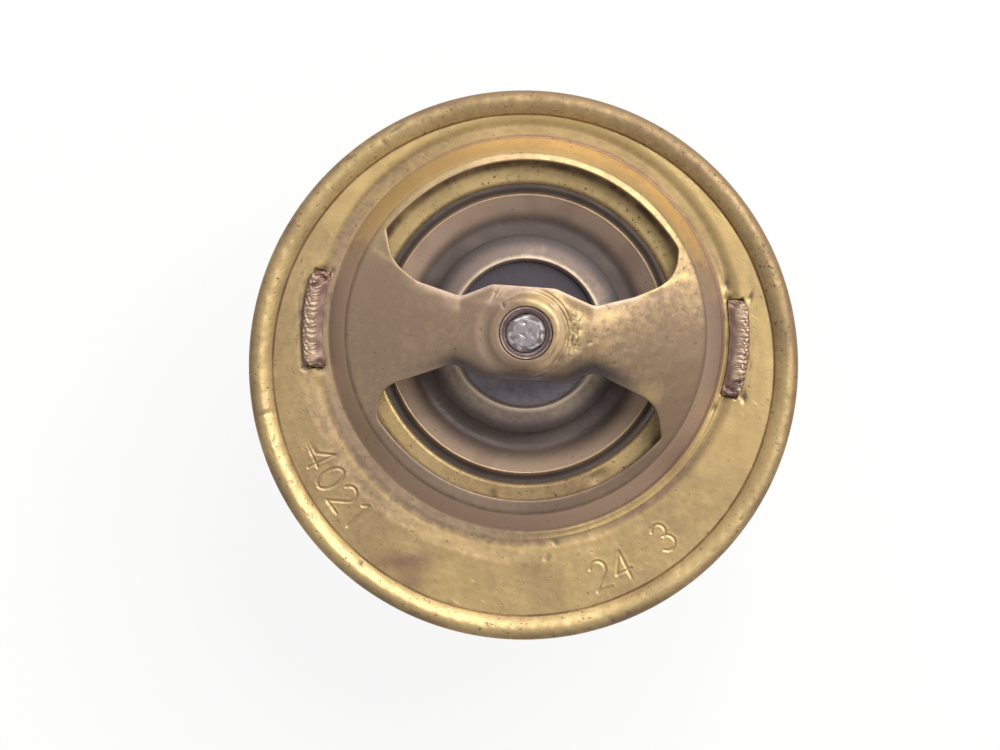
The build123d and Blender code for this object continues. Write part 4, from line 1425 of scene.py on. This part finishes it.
# ---------------------------------------------------------------- build
seat_plate()
bridge_plate()
valve_disc()
element_cup()
piston_guide()
wiper_seal()
piston()
hub_sleeve()
strap_frame()
staked_head("staked_head_right", 1)
staked_head("staked_head_left", -1)
main_spring()

for name, finish, slot_name in (
    ("wax_charge", red_wax, "wax"),
    ("rubber_boot", black_rubber, "boot_rubber"),
    ("backup_washer", white_plastic, "washer_plastic"),
):
    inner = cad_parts[name]
    inner.data.materials.clear()
    inner.data.materials.append(finish)


# ---------------------------------------------------------------- floor, light and camera
def floor():
    """Pale floor under the foot, plain white to the camera but for the object's shadow."""
    size, z = 2.0, (foot_z - 0.03) * MM
    mesh = bpy.data.meshes.new("floor")
    corners = [(-size, -size, z), (size, -size, z), (size, size, z), (-size, size, z)]
    mesh.from_pydata(corners, [], [(0, 1, 2, 3)])
    made = bpy.data.objects.new("floor", mesh)
    bpy.context.scene.collection.objects.link(made)
    pale = Nodes(bpy.data.materials.new("pale_floor"))
    pale.set("Principled BSDF", Base_Color=(0.93, 0.92, 0.92, 1), Roughness=0.8)
    share = pale.times(pale.add("LightPath", output="Is Camera Ray"), 0.88)
    lit = pale.tree.nodes["Principled BSDF"].outputs[0]
    pale.set("Material Output",
             Surface=pale.add("MixShader", {0: share, 1: lit, 2: pale.add("Emission")}))
    mesh.materials.append(pale.owner)


def lamp(name, azimuth, height, distance, size, power):
    """Round warm lamp that looks at the origin, from an azimuth off +X and a height angle."""
    data = bpy.data.lights.new(name, "AREA")
    data.shape = "DISK"
    data.size = size
    data.energy = power
    data.color = (1.0, 0.98, 0.94)
    made = bpy.data.objects.new(name, data)
    a, h = math.radians(azimuth), math.radians(height)
    level = math.cos(h)
    made.location = distance * np.array([level * math.cos(a), level * math.sin(a), math.sin(h)])
    made.rotation_euler = (math.pi / 2 - h, 0, a + math.pi / 2)
    bpy.context.scene.collection.objects.link(made)


def studio():
    """Large key lamp from the upper right of the view, one from its top, and an even surrounding."""
    lamp("key", 50, 50, 0.55, 0.5, 2.75)
    lamp("top", 96, 32, 0.6, 0.4, 1.1)
    made = Nodes(bpy.data.worlds.new("surrounding"))
    seen = made.add("LightPath", output="Is Camera Ray")
    made.set("Background", Color=(1, 1, 1, 1), Strength=made.between(seen, 0.0, 1.0, 0.46, 1.0))
    bpy.context.scene.world = made.owner


def camera():
    """Straight down, turned so that +X of the object lies 4.05 degrees clockwise of level."""
    distance, focus_z, width, film = 0.8, 0.0005, 0.0983, 36.0
    turn = math.radians(4.05)
    right = np.array([math.cos(turn), math.sin(turn)])
    up = np.array([-math.sin(turn), math.cos(turn)])
    data = bpy.data.cameras.new("camera")
    data.sensor_width = film
    data.lens = film * (distance - focus_z) / width
    data.clip_end = 10
    made = bpy.data.objects.new("camera", data)
    made.location = (*(-0.002311 * right - 0.000983 * up), distance)
    made.rotation_euler = (0, 0, turn)
    bpy.context.scene.collection.objects.link(made)
    bpy.context.scene.camera = made


floor()
studio()
camera()
bpy.context.scene.view_settings.view_transform = "Standard"
